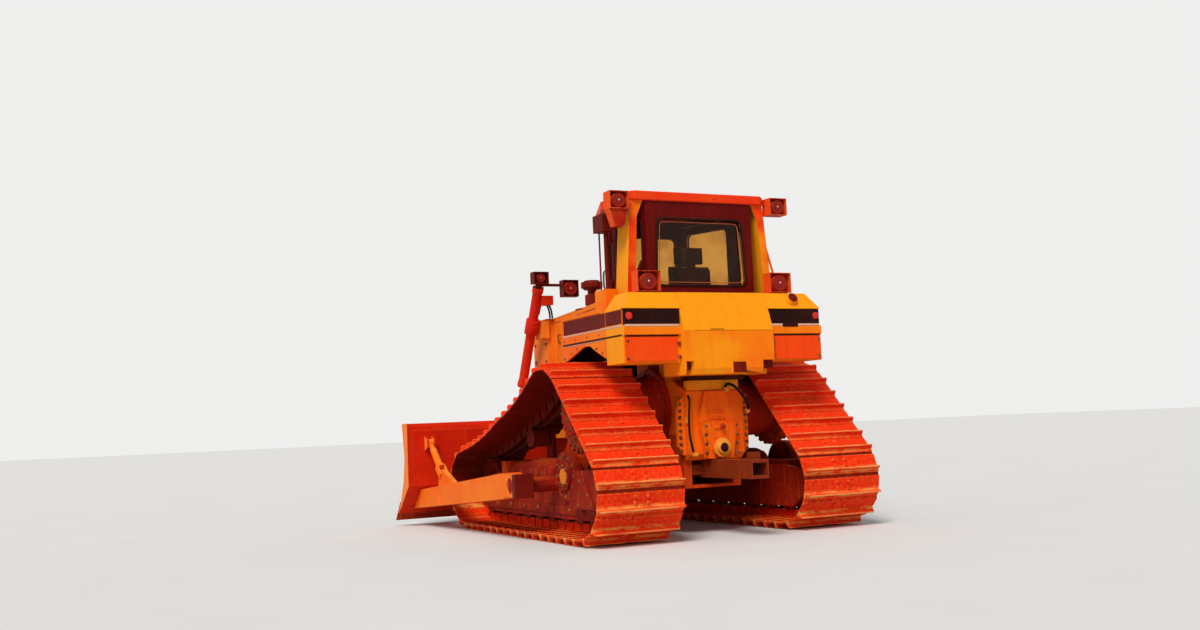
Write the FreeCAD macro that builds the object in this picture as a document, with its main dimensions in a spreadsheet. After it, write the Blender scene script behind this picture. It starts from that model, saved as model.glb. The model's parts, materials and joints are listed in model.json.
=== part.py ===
import FreeCAD, Part
import math
import os
import re
import Sketcher

# Wide-track dozer with raised drive sprockets, straight blade and outside push arms.
# Millimetres. +X forward, +Y left, +Z up. X of every size is counted from the rear idler's axle,
# and the whole machine is then shifted by x_shift so that the origin is under its middle.

V = FreeCAD.Vector
SIDES = (("left", 1), ("right", -1))

# Each row is a size's name, its value and what it is.
SIZES = [
    ("gauge", 2286, "track centre to track centre"),
    ("shoe_wide", 914, "width of a track shoe"),
    ("shoe_pitch", 203.2, "pin to pin along the chain"),
    ("shoe_thick", 16, "plate of a shoe"),
    ("grouser_tall", 60, "bar across a shoe"),
    ("grouser_thick", 16, "tip of that bar"),
    ("pin_tall", 125, "track pin above the grouser's tip"),
    ("link_deep", 94, "height of a link rail"),
    ("link_apart", 172, "outside to outside of the two link rails"),
    ("link_thick", 40, "one link rail"),
    ("idler_r", 365, "radius of the pin line round an idler"),
    ("idler_apart", 3250, "rear idler axle to front idler axle"),
    ("idler_axle_r", 60, "idler axle"),
    ("sprocket_r", 404, "radius of the pin line round the sprocket"),
    ("sprocket_x", 830, "sprocket ahead of the rear idler"),
    ("sprocket_z", 1275, "sprocket axle above the ground"),
    ("sprocket_thick", 76, "toothed ring"),
    ("tooth_gap_r", 32, "round gap between two sprocket teeth"),
    ("carrier_x", 2000, "carrier roller ahead of the rear idler"),
    ("carrier_z", 1195, "pin line over the carrier roller"),
    ("run_sag", 55, "droop of the upper track run in each span"),
    ("roller_r", 98, "tread radius of a track roller"),
    ("roller_first", 420, "first track roller ahead of the rear idler"),
    ("roller_step", 344, "track roller to track roller"),
    ("roller_axle_r", 40, "axle of a track roller"),
    ("carrier_axle_r", 38, "axle of the carrier roller"),
    ("frame_wide", 250, "track frame beam"),
    ("frame_tall", 250, "track frame beam"),
    ("frame_low", 400, "underside of that beam"),
    ("pivot_x", 855, "pivot shaft ahead of the rear idler"),
    ("pivot_z", 641, "pivot shaft above the ground"),
    ("pivot_r", 90, "pivot shaft"),
    ("pivot_boss_r", 250, "boss round the pivot shaft's outer bearing"),
    ("pivot_cap_r", 145, "bolted cap over that bearing"),
    ("recoil_r", 185, "housing of the front idler's recoil spring"),
    ("guard_off", 270, "idler guard outside the track frame's middle"),
    ("hull_half", 330, "half width of the main frame"),
    ("hull_rail", 90, "one rail of the main frame across"),
    ("hull_low", 470, "underside of the belly guard"),
    ("hull_high", 1010, "top of the main frame's rails"),
    ("hull_front", 3400, "front end of the main frame"),
    ("case_rear", 100, "rear face of the transmission case"),
    ("case_half", 330, "half width of the case"),
    ("jaw_half", 100, "half width of the drawbar"),
    ("jaw_behind", 680, "rear end of the drawbar behind the rear idler's axle"),
    ("jaw_tall", 180, "drawbar from its underside to the case"),
    ("jaw_side", 20, "side plate of the drawbar"),
    ("ear_wide", 82, "bolted flange beside the case's rear face"),
    ("tow_pin_r", 26, "bore of the drawbar for its pin"),
    ("jaw_thick", 30, "one plate of the drawbar"),
    ("case_low", 750, "underside of the case"),
    ("case_high", 1560, "top of the case"),
    ("cover_half", 205, "half width of the case's rear cover"),
    ("cover_seam", 1133, "seam between the cover's plate and its bowl"),
    ("takeoff_z", 868, "rear drive cap above the ground"),
    ("takeoff_r", 80, "rear drive cap"),
    ("case_front", 1250, "front of the case"),
    ("drive_r", 330, "final drive housing"),
    ("flange_r", 430, "bolted flange between the case and the final drive"),
    ("hub_seat_r", 150, "seat of the sprocket on its hub"),
    ("hub_cover_r", 240, "cover outside the sprocket"),
    ("tank_rear", -200, "rear face of the side tanks"),
    ("tank_half", 1146, "half width over the side tanks and fenders"),
    ("tank_high", 2410, "top of the rear tank"),
    ("band_high", 2243, "top of the dark recessed band"),
    ("band_low", 2083, "bright strip under that band"),
    ("ledge_low", 1970, "underside of the rounded ledge"),
    ("skirt_low", 1716, "lower edge of the tanks and skirts"),
    ("core_half", 518, "half width of the middle tank"),
    ("core_rear", -262, "rear face of the middle tank"),
    ("core_low", 1590, "underside of the middle tank"),
    ("tank_front", 180, "front of the rear tank"),
    ("fender_front", 1250, "front end of a fender"),
    ("fender_high", 2290, "top of a fender"),
    ("fender_wide", 326, "fender across"),
    ("skirt_thick", 24, "side skirt with its rim"),
    ("cab_rear", 215, "outside of the cab's rear wall"),
    ("cab_rear_half", 625, "half width of the rear wall"),
    ("cab_side", 760, "half width where the cab is widest"),
    ("cab_corner", 720, "where the side wall turns in, ahead of the rear idler"),
    ("cab_nose", 1450, "outside of the cab's front wall"),
    ("cab_nose_half", 470, "half width of the front wall"),
    ("cab_floor", 1830, "underside of the cab's floor"),
    ("cab_sill", 2430, "lower edge of the rear window's frame"),
    ("window_rise", 90, "lower edge of the glass above the sill"),
    ("window_tall", 690, "height of the windows"),
    ("window_head", 175, "wall above the windows"),
    ("window_side", 95, "wall beside the rear window at its foot"),
    ("window_taper", 30, "narrowing of the rear window on each side up to its top"),
    ("nose_side", 70, "wall beside the front window"),
    ("quarter_side", 65, "wall at each end of a quarter window"),
    ("cab_wall", 45, "cab wall"),
    ("roof_thick", 95, "roof slab"),
    ("roof_half", 810, "half width of the roof"),
    ("roof_rear", 190, "rear edge of the roof"),
    ("roof_front", 1560, "front edge of the roof"),
    ("glass_thick", 6, "window glass"),
    ("window_round", 70, "rounding of the window corners"),
    ("door_margin", 70, "frame of a door beside its window"),
    ("door_near", 30, "wall between the cab's corner and a door"),
    ("door_far", 40, "wall between a door and the cab's nose"),
    ("door_foot", 50, "foot of a door above the fender"),
    ("door_head", 60, "wall above a door"),
    ("seat_high", 1130, "top of the seat's back above the underside of the floor"),
    ("dash_high", 690, "top of the dash above the underside of the floor"),
    ("armrest_high", 500, "top of the side consoles above the underside of the floor"),
    ("post_deep", 260, "rear roll-over post fore and aft"),
    ("post_wide", 92, "rear roll-over post across"),
    ("post_foot_y", 780, "inner side of a post at the fender"),
    ("post_head_y", 706, "inner side of a post under the roof"),
    ("lamp_wide", 210, "roof lamp housing across"),
    ("lamp_tall", 180, "roof lamp housing"),
    ("lamp_wall", 8, "sheet of a lamp housing"),
    ("tank_lamp_y", 770, "lamps on the rear tank off the middle"),
    ("tank_lamp_wide", 255, "housing of a tank lamp across"),
    ("tank_lamp_tall", 205, "housing of a tank lamp"),
    ("hood_half", 470, "half width of the hood"),
    ("hood_front_high", 2450, "top of the hood at the radiator"),
    ("hood_rise", 80, "rise of the hood towards the cab"),
    ("hood_rear", 1480, "rear end of the hood"),
    ("bay_low", 1630, "lower edge of the engine doors"),
    ("engine_door_front", 2860, "front edge of the engine doors"),
    ("panel_thick", 30, "engine door"),
    ("guard_rear", 2980, "rear of the radiator guard"),
    ("guard_front", 3440, "front of the radiator guard"),
    ("guard_half", 540, "half width of the radiator guard"),
    ("grille_low", 1300, "lower edge of the grille door"),
    ("grille_deep", 90, "recess in front of the radiator core"),
    ("stack_x", 1980, "exhaust stack ahead of the rear idler"),
    ("stack_y", -240, "exhaust stack off the middle"),
    ("stack_above", 480, "exhaust stack above the hood's front"),
    ("stack_r", 55, "exhaust stack"),
    ("cleaner_x", 2150, "air pre-cleaner ahead of the rear idler"),
    ("cleaner_y", 330, "air pre-cleaner off the middle"),
    ("cleaner_above", 360, "top of the air pre-cleaner above the hood's front"),
    ("cleaner_r", 125, "cap of the air pre-cleaner"),
    ("arm_gap", 55, "push arm outside the track"),
    ("arm_thick", 200, "push arm across"),
    ("arm_rear", 1255, "rear end of the boxed arm"),
    ("arm_rear_tall", 262, "push arm at its rear end"),
    ("hinge_x", 1100, "push-arm trunnion ahead of the rear idler"),
    ("hinge_z", 565, "push-arm trunnion above the ground"),
    ("trunnion_r", 80, "trunnion shaft"),
    ("blade_over", 175, "blade beyond a push arm"),
    ("blade_high", 1262, "top edge of the blade"),
    ("blade_back", 3985, "rear edge of the blade's end plates"),
    ("tip_ahead", 585, "cutting edge ahead of the blade's rear edge"),
    ("blade_tip_z", 70, "cutting edge above the ground"),
    ("blade_sheet", 22, "curved face plate of the blade"),
    ("blade_hollow", 120, "deepest point of the curved face ahead of the back"),
    ("edge_thick", 28, "bolted cutting edge"),
    ("edge_back", 215, "lean of the cutting edge over its height"),
    ("edge_tall", 235, "height of the cutting edge"),
    ("slope_high", 502, "where the blade's lower back starts to lean forward"),
    ("slope_run", 1.245, "lean of that slope per unit of drop"),
    ("arm_end_high", 455, "top of a push arm at the blade"),
    ("arm_end_low", 215, "underside of a push arm at the blade"),
    ("lift_y", 720, "lift cylinder off the middle"),
    ("lift_x", 3050, "lift cylinder's yoke pin ahead of the rear idler"),
    ("lift_z", 2360, "lift cylinder's yoke pin above the ground"),
    ("eye_behind", 105, "rod eye's pin behind the blade"),
    ("eye_z", 800, "rod eye's pin above the ground"),
    ("barrel_r", 58, "lift cylinder barrel"),
    ("barrel_long", 1300, "lift cylinder barrel"),
    ("barrel_above", 510, "barrel above the yoke pin"),
    ("lift_pin_r", 35, "pin in the yoke of a lift cylinder"),
    ("rod_r", 33, "lift cylinder rod"),
    ("eye_bore_r", 50, "hole of the rod eye, wide enough for the drift of its pin"),
    ("eye_pin_r", 26, "pin in the rod eye"),
    ("brace_low_behind", 505, "lower pin of a blade brace behind the blade"),
    ("brace_low_z", 650, "lower pin of a blade brace above the ground"),
    ("brace_high_behind", 60, "upper pin of a blade brace behind the blade"),
    ("brace_high_z", 1010, "upper pin of a blade brace above the ground"),
    ("brace_pin_r", 22, "pins of a blade brace"),
    ("lug_thick", 24, "lugs on the blade's back"),
    ("play", 0.3, "gap at a seat"),
    ("swing_gap", 8, "gap round a moving panel"),
    ("hinge_pin_r", 8, "pin of a door hinge"),
    ("hinge_knuckle_r", 15, "knuckle of a door hinge"),
]
SIZE = {alias: float(size) for alias, size, what in SIZES}

# Sizes that follow from others.
RULES = {
    "fender_inner": "(tank_half - fender_wide)",
    "cab_eave": "(cab_sill + window_rise + window_tall + window_head)",
    "hood_rear_high": "(hood_front_high + hood_rise)",
    "blade_tip_x": "(blade_back + tip_ahead)",
    "track_y": "(gauge / 2)",
    "arm_inner": "(gauge / 2 + shoe_wide / 2 + arm_gap)",
    "arm_y": "(gauge / 2 + shoe_wide / 2 + arm_gap + arm_thick / 2)",
    "blade_half": "(gauge / 2 + shoe_wide / 2 + arm_gap + arm_thick + blade_over)",
    "roof_top": "(cab_sill + window_rise + window_tall + window_head + roof_thick)",
    "eye_x": "(blade_back - eye_behind)",
    "brace_low_x": "(blade_back - brace_low_behind)",
    "brace_high_x": "(blade_back - brace_high_behind)",
}
WORD = re.compile(r"[a-z][a-z0-9_]+")

doc = FreeCAD.newDocument("track_dozer")
sheet = doc.addObject("Spreadsheet::Sheet", "dims")
for row, (alias, size, what) in enumerate(SIZES, 1):
    sheet.set(f"A{row}", alias)
    sheet.set(f"B{row}", str(size))
    sheet.setAlias(f"B{row}", alias)
    sheet.set(f"C{row}", what)
doc.recompute()


def bound(rule):
    """A rule in size names, as the document reads it."""
    spelled = WORD.sub(lambda found: RULES.get(found.group(), found.group()), str(rule))
    return WORD.sub(lambda found: "dims." + found.group() if found.group() in SIZE else found.group(),
                    spelled)


def num(rule):
    """The rule's value now."""
    return float(sheet.evalExpression(bound(rule)))


# The track chain: its pins stand on a loop round the two idlers, the sprocket and the carrier roller.

def tangent(first, second):
    """Outer tangent points of two circles (x, z, r), on the left of the way from first to second."""
    run = math.hypot(second[0] - first[0], second[1] - first[1])
    way = math.atan2(second[1] - first[1], second[0] - first[0])
    lean = math.asin((first[2] - second[2]) / run)
    normal = way + math.pi / 2 - lean
    return [(ring[0] + ring[2] * math.cos(normal), ring[1] + ring[2] * math.sin(normal))
            for ring in (first, second)], normal


def sweep(ring, start, stop, steps):
    """Points on a ring while its outward direction turns clockwise from start to stop."""
    if ring[2] == 0:
        return [ring[:2]]
    while stop > start:
        stop -= 2 * math.pi
    return [(ring[0] + ring[2] * math.cos(start + (stop - start) * k / steps),
             ring[1] + ring[2] * math.sin(start + (stop - start) * k / steps)) for k in range(steps + 1)]


def droop(start, stop, sag, steps=24):
    """A hanging span between two points."""
    points = []
    for k in range(1, steps):
        share = k / steps
        points.append((start[0] + (stop[0] - start[0]) * share,
                       start[1] + (stop[1] - start[1]) * share - 4 * sag * share * (1 - share)))
    return points


def chain_loop():
    """The pin line, walked clockwise seen from the left: up from the rear idler, over, and back below."""
    rear = (0.0, num("idler_r + pin_tall"), num("idler_r"))
    front = (num("idler_apart"), rear[1], rear[2])
    top = (num("sprocket_x"), num("sprocket_z"), num("sprocket_r"))
    roller = (num("carrier_x"), num("carrier_z"), 0.0)
    spans = [(rear, top), (top, roller), (roller, front), (front, rear)]
    ends = [tangent(*span) for span in spans]
    steps = (96, 96, 8, 96)
    line = []
    rings = [rear, top, roller, front]
    sag = num("run_sag")
    for index, ring in enumerate(rings):
        arrive = ends[index - 1][1]
        leave = ends[index][1]
        line += sweep(ring, arrive, leave, steps[index])
        if index in (1, 2):
            line += droop(ends[index][0][0], ends[index][0][1], sag)
    return line


def pins_on(line):
    """Pins at even steps along the loop, as many as fit the pitch best."""
    legs = [math.dist(line[k], line[(k + 1) % len(line)]) for k in range(len(line))]
    total = sum(legs)
    count = round(total / num("shoe_pitch"))
    pins = []
    leg = 0
    walked = 0.0
    for number in range(count):
        goal = total * number / count
        while walked + legs[leg] < goal:
            walked += legs[leg]
            leg += 1
        share = (goal - walked) / legs[leg]
        start = line[leg]
        stop = line[(leg + 1) % len(line)]
        pins.append((start[0] + (stop[0] - start[0]) * share, start[1] + (stop[1] - start[1]) * share))
    return pins


def corner(pin, following, along, out):
    """A point on a link: along from its pin towards the following one, and out from the chain."""
    run = math.dist(pin, following)
    way = ((following[0] - pin[0]) / run, (following[1] - pin[1]) / run)
    return (pin[0] + way[0] * along * run - way[1] * out, pin[1] + way[1] * along * run + way[0] * out)


PINS = pins_on(chain_loop())
LINKS = list(zip(PINS, PINS[1:] + PINS[:1]))
OUT_TIP = num("pin_tall")
OUT_PLATE = num("pin_tall - grouser_tall")
OUT_BACK = num("pin_tall - grouser_tall - shoe_thick")
IN_RAIL = num("pin_tall - grouser_tall - shoe_thick - link_deep")
GROUSER_AT = 0.22
GROUSER_HALF = num("grouser_thick / 2 / shoe_pitch")
ROOT_HALF = GROUSER_HALF * 1.9
EDGE = 0.012
NICK = OUT_BACK + num("shoe_thick / 2")


def shoe_corners(pin, following):
    """A shoe's outer side: plate, one bar across it, plate, and the nick before the next shoe."""
    steps = [(EDGE, NICK), (EDGE, OUT_PLATE), (GROUSER_AT - ROOT_HALF, OUT_PLATE),
             (GROUSER_AT - GROUSER_HALF, OUT_TIP), (GROUSER_AT + GROUSER_HALF, OUT_TIP),
             (GROUSER_AT + ROOT_HALF, OUT_PLATE), (1 - EDGE, OUT_PLATE), (1 - EDGE, NICK)]
    return [corner(pin, following, along, out) for along, out in steps]


X_SHIFT = "(jaw_behind - blade_tip_x) / 2"


def place(piece, x=0, y=0, z=0, axis=None, turn=0):
    """Puts a piece at x, y, z from the rear idler's axle on the middle line, turned about an axis."""
    if axis:
        piece.Placement = FreeCAD.Placement(V(), FreeCAD.Rotation(axis, num(turn)))
        piece.setExpression("Placement.Rotation.Angle", bound(turn))
    piece.setExpression("Placement.Base.x", bound(f"{X_SHIFT} + ({x})"))
    piece.setExpression("Placement.Base.y", bound(y))
    piece.setExpression("Placement.Base.z", bound(z))
    return piece


def box(name, span_x, span_y, span_z):
    """A block between named limits on each axis."""
    piece = doc.addObject("Part::Box", name)
    for side, (low, high) in zip(("Length", "Width", "Height"), (span_x, span_y, span_z)):
        piece.setExpression(side, bound(f"({high}) - ({low})"))
    return place(piece, span_x[0], span_y[0], span_z[0])


def rod(name, radius, span, x, z):
    """A round bar across the machine, from span[0] to span[1] along Y."""
    piece = doc.addObject("Part::Cylinder", name)
    piece.setExpression("Radius", bound(radius))
    piece.setExpression("Height", bound(f"({span[1]}) - ({span[0]})"))
    return place(piece, x, span[1], z, V(1, 0, 0), 90)


def post(name, radius, x, y, span):
    """An upright round bar."""
    piece = doc.addObject("Part::Cylinder", name)
    piece.setExpression("Radius", bound(radius))
    piece.setExpression("Height", bound(f"({span[1]}) - ({span[0]})"))
    return place(piece, x, y, span[0])


def strut(name, radius, first, second, y, start, stop):
    """A round bar on the line from the first (x, z) point to the second, between two lengths along it."""
    lean = f"atan2(({second[0]}) - ({first[0]}); ({second[1]}) - ({first[1]}))"
    piece = doc.addObject("Part::Cylinder", name)
    piece.setExpression("Radius", bound(radius))
    piece.setExpression("Height", bound(f"({stop}) - ({start})"))
    return place(piece, f"{first[0]} + ({start}) * sin({lean})", y, f"{first[1]} + ({start}) * cos({lean})",
                 V(0, 1, 0), lean)


def side_strut(name, radius, low, high, x):
    """A round bar in a plane across the machine, from the low (y, z) point to the high one."""
    lean = f"-atan2(({high[0]}) - ({low[0]}); ({high[1]}) - ({low[1]}))"
    piece = doc.addObject("Part::Cylinder", name)
    piece.setExpression("Radius", bound(radius))
    piece.setExpression("Height", bound(f"sqrt((({high[0]}) - ({low[0]}))^2 + (({high[1]}) - ({low[1]}))^2)"))
    return place(piece, x, low[0], low[1], V(1, 0, 0), lean)


def draw(body, plane, corners):
    """A closed outline of straight lines on one of the body's planes, each corner tied to the sizes."""
    sketch = body.newObject("Sketcher::SketchObject", body.Name + "_outline")
    flat = [one for one in body.Origin.OriginFeatures if one.Role == plane][0]
    sketch.AttachmentSupport = [(flat, "")]
    sketch.MapMode = "FlatFace"
    points = [V(num(across), num(along), 0) for across, along in corners]
    count = len(points)
    for index, point in enumerate(points):
        sketch.addGeometry(Part.LineSegment(point, points[(index + 1) % count]), False)
    ties = [Sketcher.Constraint("Coincident", index, 2, (index + 1) % count, 1) for index in range(count)]
    for index, point in enumerate(points):
        ties.append(Sketcher.Constraint("DistanceX", -1, 1, index, 1, point.x))
        ties.append(Sketcher.Constraint("DistanceY", -1, 1, index, 1, point.y))
    sketch.addConstraint(ties)
    for index, rules in enumerate(corners):
        for place_in_pair, rule in enumerate(rules):
            sketch.setExpression(f"Constraints[{count + 2 * index + place_in_pair}]", bound(rule))
    return sketch


def plate(name, plane, corners, thick, x=0, y=0, z=0, cuts=(), axis=None, turn=0, soft=None):
    """An outline made thick both ways from its plane, with cut outlines through it and soft corners."""
    body = doc.addObject("PartDesign::Body", name)
    pad = body.newObject("PartDesign::Pad", name + "_pad")
    pad.Profile = draw(body, plane, corners)
    pad.SideType = "Symmetric"
    pad.setExpression("Length", bound(thick))
    for number, cut in enumerate(cuts):
        pocket = body.newObject("PartDesign::Pocket", f"{name}_cut{number}")
        pocket.Profile = draw(body, plane, cut)
        pocket.SideType = "Symmetric"
        pocket.setExpression("Length", bound(f"({thick}) * 2"))
    if soft:
        doc.recompute()
        through = {"XY_Plane": V(0, 0, 1), "XZ_Plane": V(0, 1, 0), "YZ_Plane": V(1, 0, 0)}[plane]
        edges = [f"Edge{index}" for index, edge in enumerate(pad.Shape.Edges, 1)
                 if abs(edge.tangentAt(edge.FirstParameter).dot(through)) > 0.999]
        rounding = body.newObject("PartDesign::Fillet", name + "_round")
        rounding.Base = (pad, edges)
        rounding.setExpression("Radius", bound(soft))
    return place(body, x, y, z, axis, turn)


def turned(name, profile, x, y, z):
    """A round piece about a line across the machine: profile is (along Y, radius) corners."""
    body = doc.addObject("PartDesign::Body", name)
    spin = body.newObject("PartDesign::Revolution", name + "_spin")
    sketch = draw(body, "XY_Plane", [(radius, along) for along, radius in profile])
    spin.Profile = sketch
    spin.ReferenceAxis = (sketch, ["V_Axis"])
    spin.Angle = 360
    return place(body, x, y, z)


def join(name, pieces):
    """Pieces that touch, made one."""
    whole = doc.addObject("Part::MultiFuse", name)
    whole.Shapes = pieces
    return whole


def gather(name, pieces):
    """Like pieces on one body that don't touch."""
    group = doc.addObject("Part::Compound", name)
    group.Links = pieces
    return group


def carve(name, base, tools):
    """A piece with others taken out of it."""
    whole = doc.addObject("Part::Cut", name)
    whole.Base = base
    whole.Tool = tools[0] if len(tools) == 1 else join(name + "_tools", tools)
    return whole


def across(name, piece):
    """The same piece on the other side of the machine."""
    twin = doc.addObject("Part::Mirroring", name)
    twin.Source = piece
    twin.Normal = V(0, 1, 0)
    twin.Base = V(0, 0, 0)
    return twin


def hinge_parts(name, x, y, low, high, blocks_fixed, blocks_moving):
    """An upright pin with a fixed knuckle at each end and a moving one between, each joined to its blocks."""
    fixed = [post(name + "_pin", "hinge_pin_r", x, y, (low, high)),
             post(name + "_knuckle_low", "hinge_knuckle_r", x, y, (low, f"{low} + 40")),
             post(name + "_knuckle_high", "hinge_knuckle_r", x, y, (f"{high} - 40", high))]
    moving = [post(name + "_knuckle", "hinge_knuckle_r", x, y, (f"{low} + 40 + play", f"{high} - 40 - play"))]
    room = post(name + "_room", "hinge_pin_r + play", x, y, (low, high))
    return fixed + blocks_fixed, moving + blocks_moving, room


NODES = {}


def node(name, piece):
    """Marks a piece as one of the parts that are written out."""
    piece.Label = name
    NODES[name] = piece
    return piece


def pair(name, piece):
    """The left piece and its mirror image on the right."""
    node(name + "_left", piece)
    node(name + "_right", across(name + "_right", piece))


def ring_solid(outer, inner, low, high):
    """The flat ring between two closed side outlines, made thick from y = low to y = high."""
    edges = [Part.makePolygon([V(x, low, z) for x, z in path + path[:1]]) for path in (outer, inner)]
    return Part.makeFace(edges, "Part::FaceMakerBullseye").extrude(V(0, high - low, 0))


def track_solid(side):
    """One whole track: a ring of shoes with a bar across each, and the two link rails inside it."""
    middle = side * num("gauge / 2")
    half = num("shoe_wide / 2")
    outer = [point for link in LINKS for point in shoe_corners(*link)]
    back = [corner(*link, 0.5, OUT_BACK) for link in LINKS]
    plates = ring_solid(outer, back, middle - half, middle + half)
    rail_out = [corner(*link, 0.5, OUT_BACK - num("play")) for link in LINKS]
    rail_in = [corner(*link, along, IN_RAIL) for link in LINKS for along in (0.15, 0.85)]
    rails = []
    for hand in (-1, 1):
        far = middle + hand * num("link_apart / 2")
        near = far - hand * num("link_thick")
        rails.append(ring_solid(rail_out, rail_in, min(far, near), max(far, near)))
    whole = Part.makeCompound([plates] + rails)
    whole.translate(V(num(X_SHIFT), 0, 0))
    return whole


for side_name, side in SIDES:
    track = doc.addObject("Part::Feature", "track_" + side_name)
    track.Shape = track_solid(side)
    node("track_" + side_name, track)

# Sprocket: a toothed ring of bolted segments on the final drive's hub.
TEETH = 25
ring = turned("sprocket_disc", [("-sprocket_thick / 2", "hub_seat_r"),
                                ("-sprocket_thick / 2", "sprocket_r + 18"),
                                ("sprocket_thick / 2", "sprocket_r + 18"),
                                ("sprocket_thick / 2", "hub_seat_r")],
              "sprocket_x", "track_y", "sprocket_z")
gap_list = []
for tooth in range(TEETH):
    turn = 2 * math.pi * tooth / TEETH
    gap = doc.addObject("Part::Cylinder", f"tooth_gap{tooth}")
    gap.setExpression("Radius", bound("tooth_gap_r"))
    gap.setExpression("Height", bound("sprocket_thick * 2"))
    place(gap, f"sprocket_x + (sprocket_r + 12) * {math.cos(turn):.6f}", "track_y + sprocket_thick",
          f"sprocket_z + (sprocket_r + 12) * {math.sin(turn):.6f}", V(1, 0, 0), 90)
    gap_list.append(gap)
pair("sprocket", carve("sprocket_left", ring, gap_list))

# Final drive: bolted flange at the case, housing out to the sprocket, and the hub cover outside it.
FLANGE_NEAR = "case_half + play - gauge / 2"
drive = turned("final_drive_body",
               [(FLANGE_NEAR, 0), (FLANGE_NEAR, "flange_r"), (f"{FLANGE_NEAR} + 42", "flange_r"),
                (f"{FLANGE_NEAR} + 50", "flange_r - 50"), (f"{FLANGE_NEAR} + 110", "drive_r + 10"),
                (f"{FLANGE_NEAR} + 150", "drive_r"), ("-230", "drive_r - 20"),
                ("-sprocket_thick / 2 - 20", "drive_r - 40"), ("-sprocket_thick / 2 - 20",
                                                               "hub_seat_r - play"),
                ("sprocket_thick / 2 + 15", "hub_seat_r - play"), ("sprocket_thick / 2 + 15", "hub_cover_r"),
                ("sprocket_thick / 2 + 90", "hub_cover_r - 25"),
                ("sprocket_thick / 2 + 120", "hub_cover_r / 2"),
                ("sprocket_thick / 2 + 120", 0)],
               "sprocket_x", "track_y", "sprocket_z")
pair("final_drive", drive)

# Idlers: spoked wheels with a raised flange between the link rails.
LINK_IN = "(link_deep - pin_tall + grouser_tall + shoe_thick)"
IDLER_TREAD = f"sqrt(idler_r^2 - shoe_pitch^2 / 4) - {LINK_IN} - 3"
idler_profile = [("-132 + play", 0), ("-132 + play", "idler_axle_r"), (-80, "idler_axle_r"),
                 (-80, IDLER_TREAD), (-32, IDLER_TREAD),
                 (-28, f"({IDLER_TREAD}) + 22"), (28, f"({IDLER_TREAD}) + 22"), (32, IDLER_TREAD),
                 (80, IDLER_TREAD), (80, f"({IDLER_TREAD}) - 60"), (50, f"({IDLER_TREAD}) - 70"),
                 (50, 150), (95, 140), (95, "idler_axle_r"), ("132 - play", "idler_axle_r"),
                 ("132 - play", 0)]
idlers = [turned(f"idler_{end}", idler_profile, place_x, "track_y", "idler_r + pin_tall")
          for end, place_x in (("rear", 0), ("front", "idler_apart"))]
pair("idlers", gather("idlers_left", idlers))

# Track rollers run on the lower rails, and one carrier roller holds up the top run.
ROLLER_COUNT = 8
ROLLER_Z = f"pin_tall + {LINK_IN} + roller_r + play"
roller_profile = [(-146, 0), (-146, "roller_axle_r"), (-104, "roller_axle_r"), (-104, "roller_r + 18"),
                  (-92, "roller_r + 18"),
                  (-90, "roller_r"), (-40, "roller_r"), (-36, "roller_r - 22"), (36, "roller_r - 22"),
                  (40, "roller_r"), (90, "roller_r"), (92, "roller_r + 18"), (104, "roller_r + 18"),
                  (104, "roller_axle_r"), (146, "roller_axle_r"), (146, 0)]
rollers = [turned(f"roller_{number}", roller_profile, f"roller_first + roller_step * {number}", "track_y",
                  ROLLER_Z)
           for number in range(ROLLER_COUNT)]
CARRIER_AXLE = f"carrier_z - {LINK_IN} - roller_r - 22"
rollers.append(turned("roller_carrier",
                      [(-150, 0), (-150, "carrier_axle_r"), (-90, "carrier_axle_r"), (-90, "roller_r"),
                       (90, "roller_r"), (90, 0)],
                      "carrier_x", "track_y", CARRIER_AXLE))
pair("track_rollers", gather("track_rollers_left", rollers))

# Track frame: boxed beam, roller rails, forks for the idlers, recoil tube, and the push-arm trunnion.
beam = plate("frame_beam", "XZ_Plane",
             [("380", "frame_low"), ("idler_apart - 430", "frame_low"),
              ("idler_apart - 430", "frame_low + frame_tall"),
              ("2500", "frame_low + frame_tall"), ("1900", "frame_low + frame_tall + 40"),
              ("380", "frame_low + frame_tall + 40")],
             "frame_wide", y="track_y")
rails = []
for tag, hand in (("inner", -1), ("outer", 1)):
    rail_y = f"track_y + {hand} * 150"
    rails.append(plate(f"frame_rail_{tag}", "XZ_Plane",
                       [("-60", "idler_r + pin_tall - 100"), ("250", f"{ROLLER_Z} - 60"),
                        ("idler_apart - 250", f"{ROLLER_Z} - 60"),
                        ("idler_apart + 60", "idler_r + pin_tall - 100"),
                        ("idler_apart + 60", "idler_r + pin_tall + 90"),
                        ("idler_apart - 420", "frame_low + frame_tall"),
                        ("380", "frame_low + frame_tall"), ("-60", "idler_r + pin_tall + 90")],
                       "36", y=rail_y))
trunnion = rod("frame_trunnion", "trunnion_r", ("track_y + 100", "arm_inner + arm_thick - 12"), "hinge_x",
               "hinge_z")
carrier_leg = box("frame_carrier_leg", ("carrier_x - 70", "carrier_x + 70"),
                  ("track_y - 190", "track_y - 132"),
                  ("frame_low + 100", f"{CARRIER_AXLE} + 60"))
leg_foot = box("frame_carrier_foot", ("carrier_x - 70", "carrier_x + 70"), ("track_y - 190", "track_y"),
               ("frame_low + 100", "frame_low + frame_tall - 20"))
RECOIL_REAR = ("hinge_x + 100", "frame_low + frame_tall - 20")
RECOIL_FRONT = ("idler_apart - 520", "frame_low + frame_tall - 20")
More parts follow.
